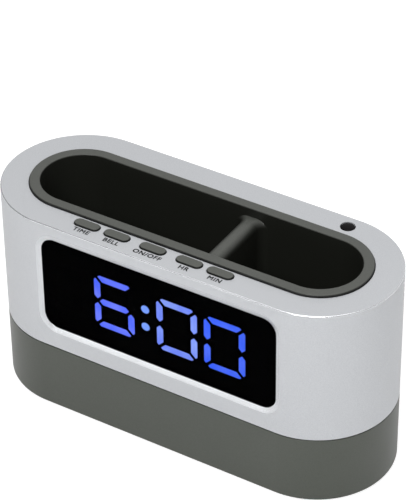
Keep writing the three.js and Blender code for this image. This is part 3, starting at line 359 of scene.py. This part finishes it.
# an outline in x and z, drawn out from front to back
def prismMesh(points, x, z, front, back):
    return loft([[(x + px, y, z + pz) for px, pz in points] for y in (front, back)])


def joined(meshes):
    bm = bmesh.new()
    for mesh in meshes:
        bm.from_mesh(mesh)
    result = bpy.data.meshes.new("joined")
    bm.to_mesh(result)
    bm.free()
    return result


# the mesh that an object has once its modifiers have run
def finished(holder):
    bpy.context.view_layer.update()
    shown = holder.evaluated_get(bpy.context.evaluated_depsgraph_get())
    return bpy.data.meshes.new_from_object(shown)


def workObject(data):
    holder = bpy.data.objects.new("work", data)
    bpy.context.scene.collection.objects.link(holder)
    return holder


# adds or cuts closed meshes one after another
def combine(target, steps):
    holder = workObject(target)
    tools = []
    for operation, mesh in steps:
        tools.append(workObject(mesh))
        modifier = holder.modifiers.new("step", "BOOLEAN")
        modifier.operation = operation
        modifier.solver = "EXACT"
        modifier.object = tools[-1]
    result = finished(holder)
    for item in [holder, *tools]:
        bpy.data.objects.remove(item)
    return result


# a closed mesh of the frame's node, with its flat faces joined up again
def nodeMesh(node):
    bm = bmesh.new()
    bm.from_mesh(frame["nodes"][node].data)
    bmesh.ops.remove_doubles(bm, verts=bm.verts, dist=0.001 * mm)
    bmesh.ops.dissolve_limit(bm, angle_limit=math.radians(0.5), verts=bm.verts, edges=bm.edges)
    mesh = bpy.data.meshes.new(node)
    bm.to_mesh(mesh)
    bm.free()
    return mesh


def centreOf(node):
    low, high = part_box(node)
    return (low.x + high.x) / 2, (low.y + high.y) / 2


# sizes read from the frame
shellLow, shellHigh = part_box("upper_shell")
baseLow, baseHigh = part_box("base_shell")
cupLow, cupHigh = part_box("pen_cup")
lensLow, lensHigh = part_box("window_lens")
bodyLength = shellHigh.x - shellLow.x
bodyWidth = shellHigh.y - shellLow.y
shellTop = shellHigh.z
baseBottom = baseLow.z
clear = 0.3 * mm
hair = 0.01 * mm  # keeps two faces of a cut from lying in one plane
past = 1 * mm  # how far a cut or a kept region reaches past the piece
farPast = 5 * mm


# camera at the photograph's viewing angle
view = {"azimuth": 32.2923, "elevation": 36.4138, "roll": -0.7926, "distance": 978.5 * mm,
        "target": (2.178 * mm, 0.0, 78.06 * mm + baseBottom), "lens": 178.71, "sensor": 36}


def addCamera():
    azimuth, elevation, roll = [math.radians(view[key]) for key in ("azimuth", "elevation", "roll")]
    back = Vector((math.sin(azimuth) * math.cos(elevation),
                   -math.cos(azimuth) * math.cos(elevation), math.sin(elevation)))
    right = Vector((math.cos(azimuth), math.sin(azimuth), 0))
    up = back.cross(right)
    rightRolled = right * math.cos(roll) + up * math.sin(roll)
    upRolled = up * math.cos(roll) - right * math.sin(roll)
    data = bpy.data.cameras.new("camera")
    data.lens = view["lens"]
    data.sensor_width = view["sensor"]
    camera = bpy.data.objects.new("camera", data)
    turn = Matrix((rightRolled, upRolled, back)).transposed().to_4x4()
    camera.matrix_world = Matrix.Translation(Vector(view["target"]) + back * view["distance"]) @ turn
    bpy.context.scene.collection.objects.link(camera)
    bpy.context.scene.camera = camera


# soft even light; each lamp has its place, aim, size and power
studio = {"worldLight": 0.405, "towardsRight": 0.18, "towardsBack": 0.3, "floorSize": 8.0,
          "floorGlow": 0.78, "floorShine": 0.15, "floorPatch": 40,
          "lamps": {"topSoftbox": ((-0.15, 0.05, 1.2), (0, 0, 0.05), (1.1, 0.7), 3.6),
                    "frontSoftbox": ((0.24, -0.85, 1.05), (0, 0, 0.06), (0.7, 0.5), 12.3),
                    "lowStrip": ((-0.5, -0.98, 0.15), (0, 0, 0.04), (0.5, 0.26), 0.65)}}


def addLamp(name, place, aim, size, power):
    data = bpy.data.lights.new(name, "AREA")
    data.shape = "RECTANGLE"
    data.size, data.size_y = size
    data.energy = power
    lamp = bpy.data.objects.new(name, data)
    lamp.location = place
    lamp.rotation_euler = (Vector(aim) - Vector(place)).to_track_quat("-Z", "Y").to_euler()
    bpy.context.scene.collection.objects.link(lamp)


# white where the camera looks at it, else a soft light that is brighter towards the back
def addWorld():
    world = bpy.data.worlds.new("studio")
    bpy.context.scene.world = world
    world.use_nodes = True
    tree = world.node_tree
    tree.nodes.clear()
    path = addNode(tree, "ShaderNodeLightPath")
    seen = addNode(tree, "ShaderNodeMath", {"operation": "MAXIMUM"},
                   {0: (path, "Is Camera Ray"), 1: (path, "Is Transmission Ray")})
    sky = addNode(tree, "ShaderNodeTexCoord")
    slope = addNode(tree, "ShaderNodeVectorMath",
                    {"operation": "DOT_PRODUCT", 1: (studio["towardsRight"], studio["towardsBack"], 0)},
                    {0: (sky, "Generated")})
    level = addNode(tree, "ShaderNodeMath", {"operation": "ADD", 1: studio["worldLight"]},
                    {0: (slope, "Value")})
    mixed = addNode(tree, "ShaderNodeMapRange", {"To Max": 1.0},
                    {"Value": (seen, 0), "To Min": (level, 0)})
    light = addNode(tree, "ShaderNodeBackground", {"Color": (1, 1, 1, 1)},
                    {"Strength": (mixed, "Result")})
    addNode(tree, "ShaderNodeOutputWorld", links={"Surface": (light, 0)})


# painted board: pale and matt for the light that it throws back, white with shadows for the camera
def paintedFloor():
    material, tree = newMaterial("paintedFloor")
    path = addNode(tree, "ShaderNodeLightPath")
    # reflections see a little of the white that the camera sees
    mirrored = addNode(tree, "ShaderNodeMath", {"operation": "MULTIPLY", 1: studio["floorShine"]},
                       {0: (path, "Is Glossy Ray")})
    seen = addNode(tree, "ShaderNodeMath", {"operation": "MAXIMUM"},
                   {0: (path, "Is Camera Ray"), 1: (mirrored, 0)})
    place = addNode(tree, "ShaderNodeTexCoord")
    colour = mottledColour(tree, place, "e6e6e6", "ebebeb", studio["floorPatch"])
    shade = mottledColour(tree, place, "a8a8a8", "adadad", studio["floorPatch"])
    matt = addNode(tree, "ShaderNodeBsdfDiffuse", links={"Color": (colour, "Color")})
    faint = addNode(tree, "ShaderNodeBsdfDiffuse", links={"Color": (shade, "Color")})
    glow = addNode(tree, "ShaderNodeEmission", {"Color": (1, 1, 1, 1), "Strength": studio["floorGlow"]})
    both = addNode(tree, "ShaderNodeAddShader", links={0: (faint, 0), 1: (glow, 0)})
    shader = addNode(tree, "ShaderNodeMixShader",
                     links={"Fac": (seen, 0), 1: (matt, 0), 2: (both, 0)})
    finishMaterial(tree, shader)
    return material


def addFloor():
    half = studio["floorSize"] / 2
    mesh = bpy.data.meshes.new("floor")
    mesh.from_pydata([(-half, -half, 0), (half, -half, 0), (half, half, 0), (-half, half, 0)], [],
                     [(0, 1, 2, 3)])
    mesh.materials.append(paintedFloor())
    floor = bpy.data.objects.new("floor", mesh)
    bpy.context.scene.collection.objects.link(floor)


addCamera()
for name, settings in studio["lamps"].items():
    addLamp(name, *settings)
addWorld()
addFloor()
bpy.context.scene.view_settings.view_transform = "Standard"
print("camera and studio")


# upper shell: fine skin over the frame's own bosses and posts
shell = {"skin": 1.6 * mm, "kept": 1.0 * mm, "edge": 0.45 * mm, "holeEdge": 0.35 * mm,
         "cupMarginEnd": 11.3 * mm, "cupMarginSide": 11.6 * mm, "seamEdge": 0.3 * mm,
         "bevelWidth": 2.2 * mm, "bevelDepth": 0.9 * mm, "bevelLip": 0.15 * mm,
         "cornerInside": 6.3 * mm, "windowCut": 4 * mm, "windowLeft": 0.3 * mm,
         "windowRight": 0.1 * mm, "windowDown": 0.2 * mm, "sensorHole": 6.2 * mm,
         "sensorEdge": 0.35 * mm, "bossDrop": 2 * mm, "plateCut": 4 * mm}
keys = {"length": 11.3 * mm, "width": 4.3 * mm, "edge": 0.3 * mm, "flange": 0.9 * mm,
        "holeEdge": 0.25 * mm, "holeCut": 2.4 * mm, "flangeThickness": 1.2 * mm,
        "holeSteps": 16, "steps": 20}
keyNodes = {"time_button": "time_key", "alarm_button": "alarm_key", "snooze_button": "snooze_key",
            "hour_button": "hour_key", "minute_button": "minute_key"}
seamTop = shellLow.z + shell["bossDrop"] + clear
holeLength = bodyLength - 2 * shell["cupMarginEnd"]
holeWidth = bodyWidth - 2 * shell["cupMarginSide"]
# the window as the photograph has it, a little larger than the frame's: left, right, low, high
window = (lensLow.x - shell["windowLeft"], lensHigh.x + shell["windowRight"],
          lensLow.z - shell["windowDown"], lensHigh.z)
opening = (window[0] - clear, window[1] + clear, window[2] - clear, window[3] + clear)


def windowCutter():
    front, depth, width = shellLow.y, shell["bevelDepth"], shell["bevelWidth"]
    lip = shell["bevelLip"]
    steps = ((width + hair, -farPast), (width + hair, 0.0), (lip, depth - lip),
             (hair, depth), (hair, shell["windowCut"]))
    return loft([windowRing(opening, out, shell["cornerInside"], front + back)
                 for out, back in steps])


# cuts a hole with an eased rim into the top plate
def plateCutter(ring, low, edge):
    rings = [ring(2 * hair, low)]
    for inward, down in reversed(rounding(edge)):
        rings.append(ring(2 * (hair + edge - down), shellTop - inward))
    rings.append(ring(2 * (hair + edge), shellTop + farPast))
    return loft(rings)


def makeUpperShell():
    edge, small, skin = shell["edge"], shell["seamEdge"], 2 * shell["skin"]
    rings = [stadiumRing(bodyLength - 2 * small, bodyWidth - 2 * small, seamTop),
             stadiumRing(bodyLength, bodyWidth, seamTop + small)]
    for inward, down in rounding(edge):
        rings.append(stadiumRing(bodyLength - 2 * inward, bodyWidth - 2 * inward, shellTop - down))
    hollow = loft([stadiumRing(bodyLength - skin, bodyWidth - skin, seamTop - past),
                   stadiumRing(bodyLength - skin, bodyWidth - skin, shellTop - shell["skin"])])
    kept = 2 * shell["kept"]
    region = loft([stadiumRing(bodyLength - kept, bodyWidth - kept, shellLow.z - past),
                   stadiumRing(bodyLength - kept, bodyWidth - kept, shellTop - shell["kept"])])
    inside = combine(nodeMesh("upper_shell"), [("INTERSECT", region)])
    below = shellTop - shell["plateCut"]
    cuts = [windowCutter(),
            plateCutter(lambda grow, z: stadiumRing(holeLength + grow, holeWidth + grow, z),
                        below, shell["holeEdge"])]
    x, y = centreOf("sensor_lens")
    cuts.append(plateCutter(lambda grow, z: circleRing(shell["sensorHole"] + grow, z, x, y),
                            below, shell["sensorEdge"]))
    length, width = keys["length"] + 2 * clear, keys["width"] + 2 * clear
    for node in keyNodes:
        x, y = centreOf(node)
        cuts.append(plateCutter(
            lambda grow, z: stadiumRing(length + grow, width + grow, z, x, y, keys["holeSteps"]),
            shellTop - keys["holeCut"], keys["holeEdge"]))
    mesh = combine(loft(rings), [("DIFFERENCE", hollow), ("UNION", inside)]
                   + [("DIFFERENCE", cut) for cut in cuts])
    piece = addPiece("upperShell", mesh, "silver", "case", ["upper_shell"], 40)
    markEdges(piece.data)


# how near to an edge a face's centre has to be, and how it has to lean, to count as part of it
marks = {"bandReach": 0.3 * mm, "bandStart": 0.02 * mm, "bandInward": 2 * mm, "wallEnd": 3.5 * mm,
         "wallLean": 0.1, "plateTop": 0.002 * mm, "edgeRise": 0.02, "rimReach": 0.1 * mm}


# painted highlights: the band round the window and the eased rims of the holes take one lighter,
# mirror-like copy of the silver, the top's outer edge another; painted shade: the opening's wall behind
# the band is black
def markEdges(mesh):
    for name in ("bevel", "edge", "mask"):
        mesh.materials.append(finishes[name])
    reach = shell["bevelWidth"] + marks["bandReach"]
    halfStraight = (bodyLength - bodyWidth) / 2
    for polygon in mesh.polygons:
        centre, normal = polygon.center, polygon.normal
        back = centre.y - shellLow.y
        inBand = (opening[0] - reach < centre.x < opening[1] + reach
                  and opening[2] - reach < centre.z < opening[3] + reach)
        inward = ((opening[0] + opening[1]) / 2 - centre.x) * normal.x \
            + ((opening[2] + opening[3]) / 2 - centre.z) * normal.z
        atBevel = marks["bandStart"] < back < shell["bevelDepth"]
        atWall = shell["bevelDepth"] < back < marks["wallEnd"]
        atTop = shellTop - shell["edge"] < centre.z < shellTop - marks["plateTop"]
        # painted highlight on the band and the hole rims, painted shade on the opening's wall
        if inBand and inward > marks["bandInward"] and atBevel:
            polygon.material_index = 1
        elif inBand and atWall and abs(normal.y) < marks["wallLean"]:
            polygon.material_index = 3
        elif atTop and normal.z > marks["edgeRise"]:
            alongX = max(-halfStraight, min(halfStraight, centre.x))
            outward = (centre.x - alongX) * normal.x + centre.y * normal.y
            rim = bodyWidth / 2 - shell["edge"] - marks["rimReach"]
            atRim = math.hypot(centre.x - alongX, centre.y) > rim
            polygon.material_index = 2 if outward > 0 and atRim else 1
    # a sharp line wherever the finish changes
    bm = bmesh.new()
    bm.from_mesh(mesh)
    for line in bm.edges:
        if len({face.material_index for face in line.link_faces}) > 1:
            line.smooth = False
    bm.to_mesh(mesh)
    bm.free()


makeUpperShell()
print("upper shell")


# base shell
base = {"skin": 1.6 * mm, "kept": 1.0 * mm, "edge": 0.6 * mm, "seamEdge": 0.2 * mm,
        "lip": 2 * mm, "lipReach": 4 * mm, "doorRecess": 2.3 * mm, "screwHole": 5.8 * mm,
        "screwSeat": 7 * mm, "notch": 12 * mm, "notchDepth": 1.1 * mm, "footHole": 10.6 * mm,
        "footSink": 1.1 * mm, "footSteps": 48, "inletCut": 4 * mm, "shadedShare": 0.7,
        "shadedNormals": (-0.98, -0.2)}


def makeBaseShell():
    seam = baseHigh.z - base["lip"]
    edge, small, skin = base["edge"], base["seamEdge"], 2 * base["skin"]
    rings = [stadiumRing(bodyLength - 2 * inward, bodyWidth - 2 * inward, baseBottom + down)
             for inward, down in reversed(rounding(edge))]
    rings += [stadiumRing(bodyLength, bodyWidth, seam - small),
              stadiumRing(bodyLength - 2 * small, bodyWidth - 2 * small, seam)]
    hollow = loft([stadiumRing(bodyLength - skin, bodyWidth - skin, baseBottom + base["skin"]),
                   stadiumRing(bodyLength - skin, bodyWidth - skin, seam + past)])
    kept = 2 * base["kept"]
    region = loft([stadiumRing(bodyLength - kept, bodyWidth - kept, baseBottom + base["kept"]),
                   stadiumRing(bodyLength - kept, bodyWidth - kept, seam + base["lipReach"])])
    inside = combine(nodeMesh("base_shell"), [("INTERSECT", region)])
    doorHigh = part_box("battery_door")[1]
    halfLength, halfWidth = doorHigh.x + clear + hair, doorHigh.y + clear + hair
    under = baseBottom - past
    cuts = [blockMesh(-halfLength, halfLength, -halfWidth, halfWidth, under,
                      baseBottom + base["doorRecess"]),
            rodMesh(base["notch"], under, baseBottom + base["notchDepth"], doorHigh.x)]
    for i in range(1, 5):
        x, y = centreOf(f"case_screw_{i}")
        cuts.append(rodMesh(base["screwHole"] + 2 * hair, under, baseBottom + base["screwSeat"], x, y))
        x, y = centreOf(f"foot_{i}")
        cuts.append(rodMesh(base["footHole"] + 2 * hair, under, baseBottom + base["footSink"], x, y,
                            base["footSteps"]))
    low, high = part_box("power_inlet")
    slot = (low.x - clear, high.x + clear, low.z - clear, high.z + clear)
    corner = (slot[3] - slot[2]) / 2 - hair
    cuts.append(loft([windowRing(slot, 0, corner, bodyWidth / 2 - base["inletCut"]),
                      windowRing(slot, 0, corner, bodyWidth / 2 + past)]))
    mesh = combine(loft(rings), [("DIFFERENCE", hollow), ("UNION", inside)]
                   + [("DIFFERENCE", cut) for cut in cuts])
    piece = addPiece("baseShell", mesh, "base", "case", ["base_shell"], 40)
    # the rounding next to the table is shaded
    piece.data.materials.append(finishes["under"])
    shadedTop = baseBottom + edge * base["shadedShare"]
    steepest, flattest = base["shadedNormals"]
    for polygon in piece.data.polygons:
        if polygon.center.z < shadedTop and steepest < polygon.normal.z < flattest:
            polygon.material_index = 1


makeBaseShell()
print("base shell")


# pen cup
cup = {"insideLength": 143 * mm, "insideWidth": 33.4 * mm, "wall": 2.1 * mm, "floor": 2.2 * mm,
       "bottomEdge": 2 * mm, "rimSkirt": 6.8 * mm, "rimEdge": 0.45 * mm, "mouthEdge": 0.5 * mm,
       "floorFillet": 2.5 * mm, "dividerX": 14.95 * mm, "dividerWidth": 7.7 * mm,
       "dividerDrop": 3 * mm, "dividerEdge": 3.2 * mm, "dividerSteps": 8, "dividerCorner": 4 * mm,
       "cornerSteps": 10, "dividerSink": 0.5 * mm, "dividerReach": 0.6 * mm, "plate": 2.2 * mm,
       "lugWidth": 8 * mm, "lugHeight": 2 * mm, "lugSpread": 40 * mm, "skirtReach": 0.1 * mm,
       "skirtLean": 0.3}


# the divider's outline, which widens in a round corner where it meets the cup's walls
def dividerRing(inset, z):
    half = cup["dividerWidth"] / 2 - inset
    corner = cup["dividerCorner"]
    wall = cup["insideWidth"] / 2
    radius = corner + inset
    reach = math.acos(corner / radius) if inset else 0.0
    quarter = []
    for i in range(cup["cornerSteps"] + 1):
        turn = reach + (math.pi / 2 - reach) * i / cup["cornerSteps"]
        quarter.append((half + inset + corner - radius * math.sin(turn),
                        wall - corner + radius * math.cos(turn)))
    quarter.insert(0, (quarter[0][0], wall + cup["dividerReach"]))
    right = [(x, -y) for x, y in quarter] + [(x, y) for x, y in reversed(quarter)]
    left = [(-x, -y) for x, y in right]
    return [(x + cup["dividerX"], y, z) for x, y in right + left]


def makeDivider():
    rings = [dividerRing(0.0, cupLow.z + cup["floor"] - cup["dividerSink"])]
    ridge = shellTop - cup["dividerDrop"]
    for inward, down in rounding(cup["dividerEdge"], cup["dividerSteps"]):
        rings.append(dividerRing(inward, ridge - down))
    return loft(rings)


# the lugs under the top plate that hold the cup up against it
def makeLugs(rimLength, rimWidth):
    lugs = []
    high = shellTop - cup["plate"] - clear
    low = high - cup["lugHeight"]
    half = cup["lugWidth"] / 2
    for side in (-1, 1):
        x = side * cup["lugSpread"]
        lugs.append(blockMesh(x - half, x + half, rimWidth / 2 - past, cupHigh.y, low, high))
        ends = sorted((side * (rimLength / 2 - past), side * cupHigh.x))
        lugs.append(blockMesh(*ends, -half, half, low, high))
    return lugs


def makePenCup():
    top, under = cupHigh.z, cupLow.z
    length, width = cup["insideLength"], cup["insideWidth"]
    rimLength = holeLength - 2 * clear
    rimWidth = holeWidth - 2 * clear
    outerLength, outerWidth = length + 2 * cup["wall"], width + 2 * cup["wall"]
    skirt, edge = top - cup["rimSkirt"], cup["rimEdge"]
    rings = [stadiumRing(outerLength - 2 * i, outerWidth - 2 * i, under + d)
             for i, d in reversed(rounding(cup["bottomEdge"]))]
    rings += [stadiumRing(outerLength, outerWidth, skirt), stadiumRing(rimLength, rimWidth, skirt)]
    rings += [stadiumRing(rimLength - 2 * i, rimWidth - 2 * i, top - d) for i, d in rounding(edge)]
    rings += [stadiumRing(length + 2 * d, width + 2 * d, top - i)
              for i, d in rounding(cup["mouthEdge"])]
    rings += [stadiumRing(length - 2 * i, width - 2 * i, under + cup["floor"] + d)
              for i, d in rounding(cup["floorFillet"])]
    added = [makeDivider(), *makeLugs(rimLength, rimWidth)]
    mesh = combine(loft(rings), [("UNION", item) for item in added])
    piece = addPiece("penCup", mesh, "cup", "case", ["pen_cup"], 40)
    # painted shade: the rim's outer wall, in the shade of the gap round it, takes the black finish
    piece.data.materials.append(finishes["black"])
    halfStraight = (rimLength - rimWidth) / 2
    for polygon in piece.data.polygons:
        centre = polygon.center
        alongX = max(-halfStraight, min(halfStraight, centre.x))
        out = math.hypot(centre.x - alongX, centre.y)
        upright = abs(polygon.normal.z) < cup["skirtLean"]
        if upright and out > rimWidth / 2 - cup["skirtReach"] and centre.z < top - edge:
            polygon.material_index = 1


makePenCup()
print("pen cup")


# keys, each on its own body
def makeKey(node, body):
    low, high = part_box(node)
    x, y = centreOf(node)
    length, width, steps = keys["length"], keys["width"], keys["steps"]
    flangeTop = low.z + keys["flangeThickness"]
    grow = 2 * keys["flange"]
    rings = [stadiumRing(length + grow, width + grow, low.z, x, y, steps),
             stadiumRing(length + grow, width + grow, flangeTop, x, y, steps),
             stadiumRing(length, width, flangeTop, x, y, steps)]
    rings += [stadiumRing(length - 2 * i, width - 2 * i, high.z - d, x, y, steps)
              for i, d in rounding(keys["edge"])]
    addPiece(node.replace("_button", "Key"), loft(rings), "key", body, [node], 40)


for node, body in keyNodes.items():
    makeKey(node, body)

# light sensor window: a shallow dome with a flat ring round it
sensor = {"flange": 6.9 * mm, "flangeThickness": 0.8 * mm, "dome": 5.6 * mm, "rise": 0.35 * mm,
          "steps": 8}


def makeSensorLens():
    low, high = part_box("sensor_lens")
    x, y = centreOf("sensor_lens")
    rise = sensor["rise"]
    flangeTop = low.z + sensor["flangeThickness"]
    rings = [circleRing(sensor["flange"], low.z, x, y), circleRing(sensor["flange"], flangeTop, x, y),
             circleRing(sensor["dome"], flangeTop, x, y)]
    for i in range(sensor["steps"]):
        turn = math.radians(90 * i / sensor["steps"])
        rings.append(circleRing(sensor["dome"] * math.cos(turn),
                                high.z - rise + rise * math.sin(turn), x, y))
    addPiece("sensorLens", loft(rings), "sensor", "case", ["sensor_lens"], 50)


makeSensorLens()
print("keys and sensor")


# window lens, with its front edge broken
lens = {"edge": 0.15 * mm}


def makeWindowLens():
    radius = shell["cornerInside"] - clear
    edge = lens["edge"]
    rings = [windowRing(window, -edge, radius, lensLow.y),
             windowRing(window, 0.0, radius, lensLow.y + edge),
             windowRing(window, 0.0, radius, lensHigh.y)]
    addPiece("windowLens", loft(rings), "lens", "case", ["window_lens"], 30)


makeWindowLens()

# display: the time shown is 6:00, with the first place dark
display = {"digitWidth": 18.6 * mm, "digitHeight": 25.2 * mm, "stroke": 2.9 * mm,
           "middleBar": 3.0 * mm, "gap": 1.4 * mm, "tipCut": 1.6 * mm, "plate": 1.0 * mm,
           "overlap": 0.2 * mm, "dot": 3.75 * mm, "dotSpread": 8.52 * mm, "dotSteps": 40,
           "dotGap": 0.1 * mm}
shown = (("digit_1", "", "litLeft"), ("digit_2", "afgedc", "litLeft"),
         ("digit_3", "abcdef", "litMiddle"), ("digit_4", "abcdef", "litRight"))


# seven outlines in x and z, lettered clockwise from the top bar as on a data sheet
def segmentOutlines():
    w, h = display["digitWidth"] / 2, display["digitHeight"] / 2
    s, t = display["stroke"], display["tipCut"]
    m, b = display["gap"] / math.sqrt(2), display["middleBar"] / 2
    bar = [(-w + m + t, h), (-w + m + t / 2, h - t / 2), (-w + m + s, h - s),
           (w - m - s, h - s), (w - m - t / 2, h - t / 2), (w - m - t, h)]
    post = [(-w, h - m - t), (-w, m + s / 2), (-w + s / 2, m), (-w + s, m + s / 2),
            (-w + s, h - m - s), (-w + t / 2, h - m - t / 2)]
    end = w - s / 2 - m
    middle = [(-end, 0), (-end + b, -b), (end - b, -b), (end, 0), (end - b, b), (-end + b, b)]
    return {"a": bar, "d": [(x, -z) for x, z in bar], "f": post, "b": [(-x, z) for x, z in post],
            "e": [(x, -z) for x, z in post], "c": [(-x, -z) for x, z in post], "g": middle}


# only the front faces glow; the sides of each light guide are painted black
def glowInFront(piece, front):
    piece.data.materials.append(finishes["unlit"])
    for polygon in piece.data.polygons:
        polygon.material_index = 0 if polygon.center.y < front + hair else 1


def makeDigit(node, lit, glow):
    low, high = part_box(node)
    x, z = (low.x + high.x) / 2, (low.z + high.z) / 2
    plateFront = high.y - display["plate"]
    groups = {True: [], False: []}
    for name, points in segmentOutlines().items():
        guide = prismMesh(points, x, z, low.y, plateFront + display["overlap"])
        groups[name in lit].append(guide)
    plate = blockMesh(low.x, high.x, plateFront, high.y, low.z, high.z)
    addPiece(node + "_unlit", joined(groups[False] + [plate]), "unlit", "case", [node])
    if lit:
        piece = addPiece(node + "_lit", joined(groups[True]), glow, "case", [node])
        glowInFront(piece, low.y)


def makeColon():
    low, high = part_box("colon_dots")
    x, z = (low.x + high.x) / 2, (low.z + high.z) / 2
    outline = [point[:2] for point in circleRing(display["dot"], 0.0, steps=display["dotSteps"])]
    dots = [prismMesh(outline, x, z + side * display["dotSpread"] / 2, low.y, high.y)
            for side in (-1, 1)]
    piece = addPiece("colonDots", joined(dots), "litDots", "case", ["colon_dots"])
    glowInFront(piece, low.y)
    plateFront = high.y - display["plate"] + display["dotGap"]
    addPiece("colonPlate", blockMesh(low.x, high.x, plateFront, high.y, low.z, high.z),
             "unlit", "case", ["colon_dots"])


for node, lit, glow in shown:
    makeDigit(node, lit, glow)
makeColon()
print("window and display")

# printed words in front of the keys
labels = {"time_button": "TIME", "alarm_button": "BELL", "snooze_button": "ON/OFF",
          "hour_button": "HR", "minute_button": "MIN"}
lettering = {"height": 2.2 * mm, "y": -29.95 * mm, "thickness": 0.01 * mm, "weight": 0.09 * mm,
             "capitalShare": 0.69, "spacing": 1.12}


def makeLabel(node, word):
    x, y = centreOf(node)
    text = bpy.data.curves.new("label", "FONT")
    text.body = word
    text.size = lettering["height"] / lettering["capitalShare"]
    text.align_x = "CENTER"
    text.extrude = lettering["thickness"]
    text.space_character = lettering["spacing"]
    holder = workObject(text)
    mesh = finished(holder)
    bpy.data.objects.remove(holder)
    # four copies a hair apart make the strokes of a bold print
    weight = lettering["weight"]
    copies = []
    for side, front in ((-1, -1), (1, -1), (1, 1), (-1, 1)):
        copies.append(mesh.copy())
        place = (x + side * weight, lettering["y"] + front * weight, shellTop)
        copies[-1].transform(Matrix.Translation(place))
    addPiece("label_" + word.replace("/", "_"), joined(copies), "ink", "case")


for node, word in labels.items():
    makeLabel(node, word)
print("labels")

# battery door: the frame's own form with its sharp edges eased
door = {"node": "battery_door", "ease": 0.25 * mm, "segments": 2, "sharpFrom": 40}


def makeDoor():
    node = door["node"]
    holder = workObject(nodeMesh(node))
    bevel = holder.modifiers.new("ease", "BEVEL")
    bevel.width = door["ease"]
    bevel.segments = door["segments"]
    bevel.limit_method = "ANGLE"
    bevel.angle_limit = math.radians(door["sharpFrom"])
    mesh = finished(holder)
    bpy.data.objects.remove(holder)
    body = frame["nodes"][node]["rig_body"]
    addPiece(node + "_fine", mesh, "base", body, [node], 40)


makeDoor()
print("battery door")

# what stays as the frame has it takes a finish of its own
finishOfSlot = {"silver_shell": "silver", "dark_shell": "base", "smoked_lens": "lens",
                "black_face": "mask", "lit_segment": "litMiddle", "dark_segment": "unlit",
                "white_plastic": "white", "circuit_board": "board", "black_plastic": "black",
                "spring_steel": "steel", "cell_jacket": "cell", "foot_rubber": "rubber",
                "ribbon": "ribbon", "lead_red": "red", "lead_black": "black"}
for entry in frame["record"]["subparts"]:
    item = frame["nodes"][entry["node"]]
    item.data.materials.clear()
    item.data.materials.append(finishes[finishOfSlot[entry["material_slot"]]])
print("node finishes")
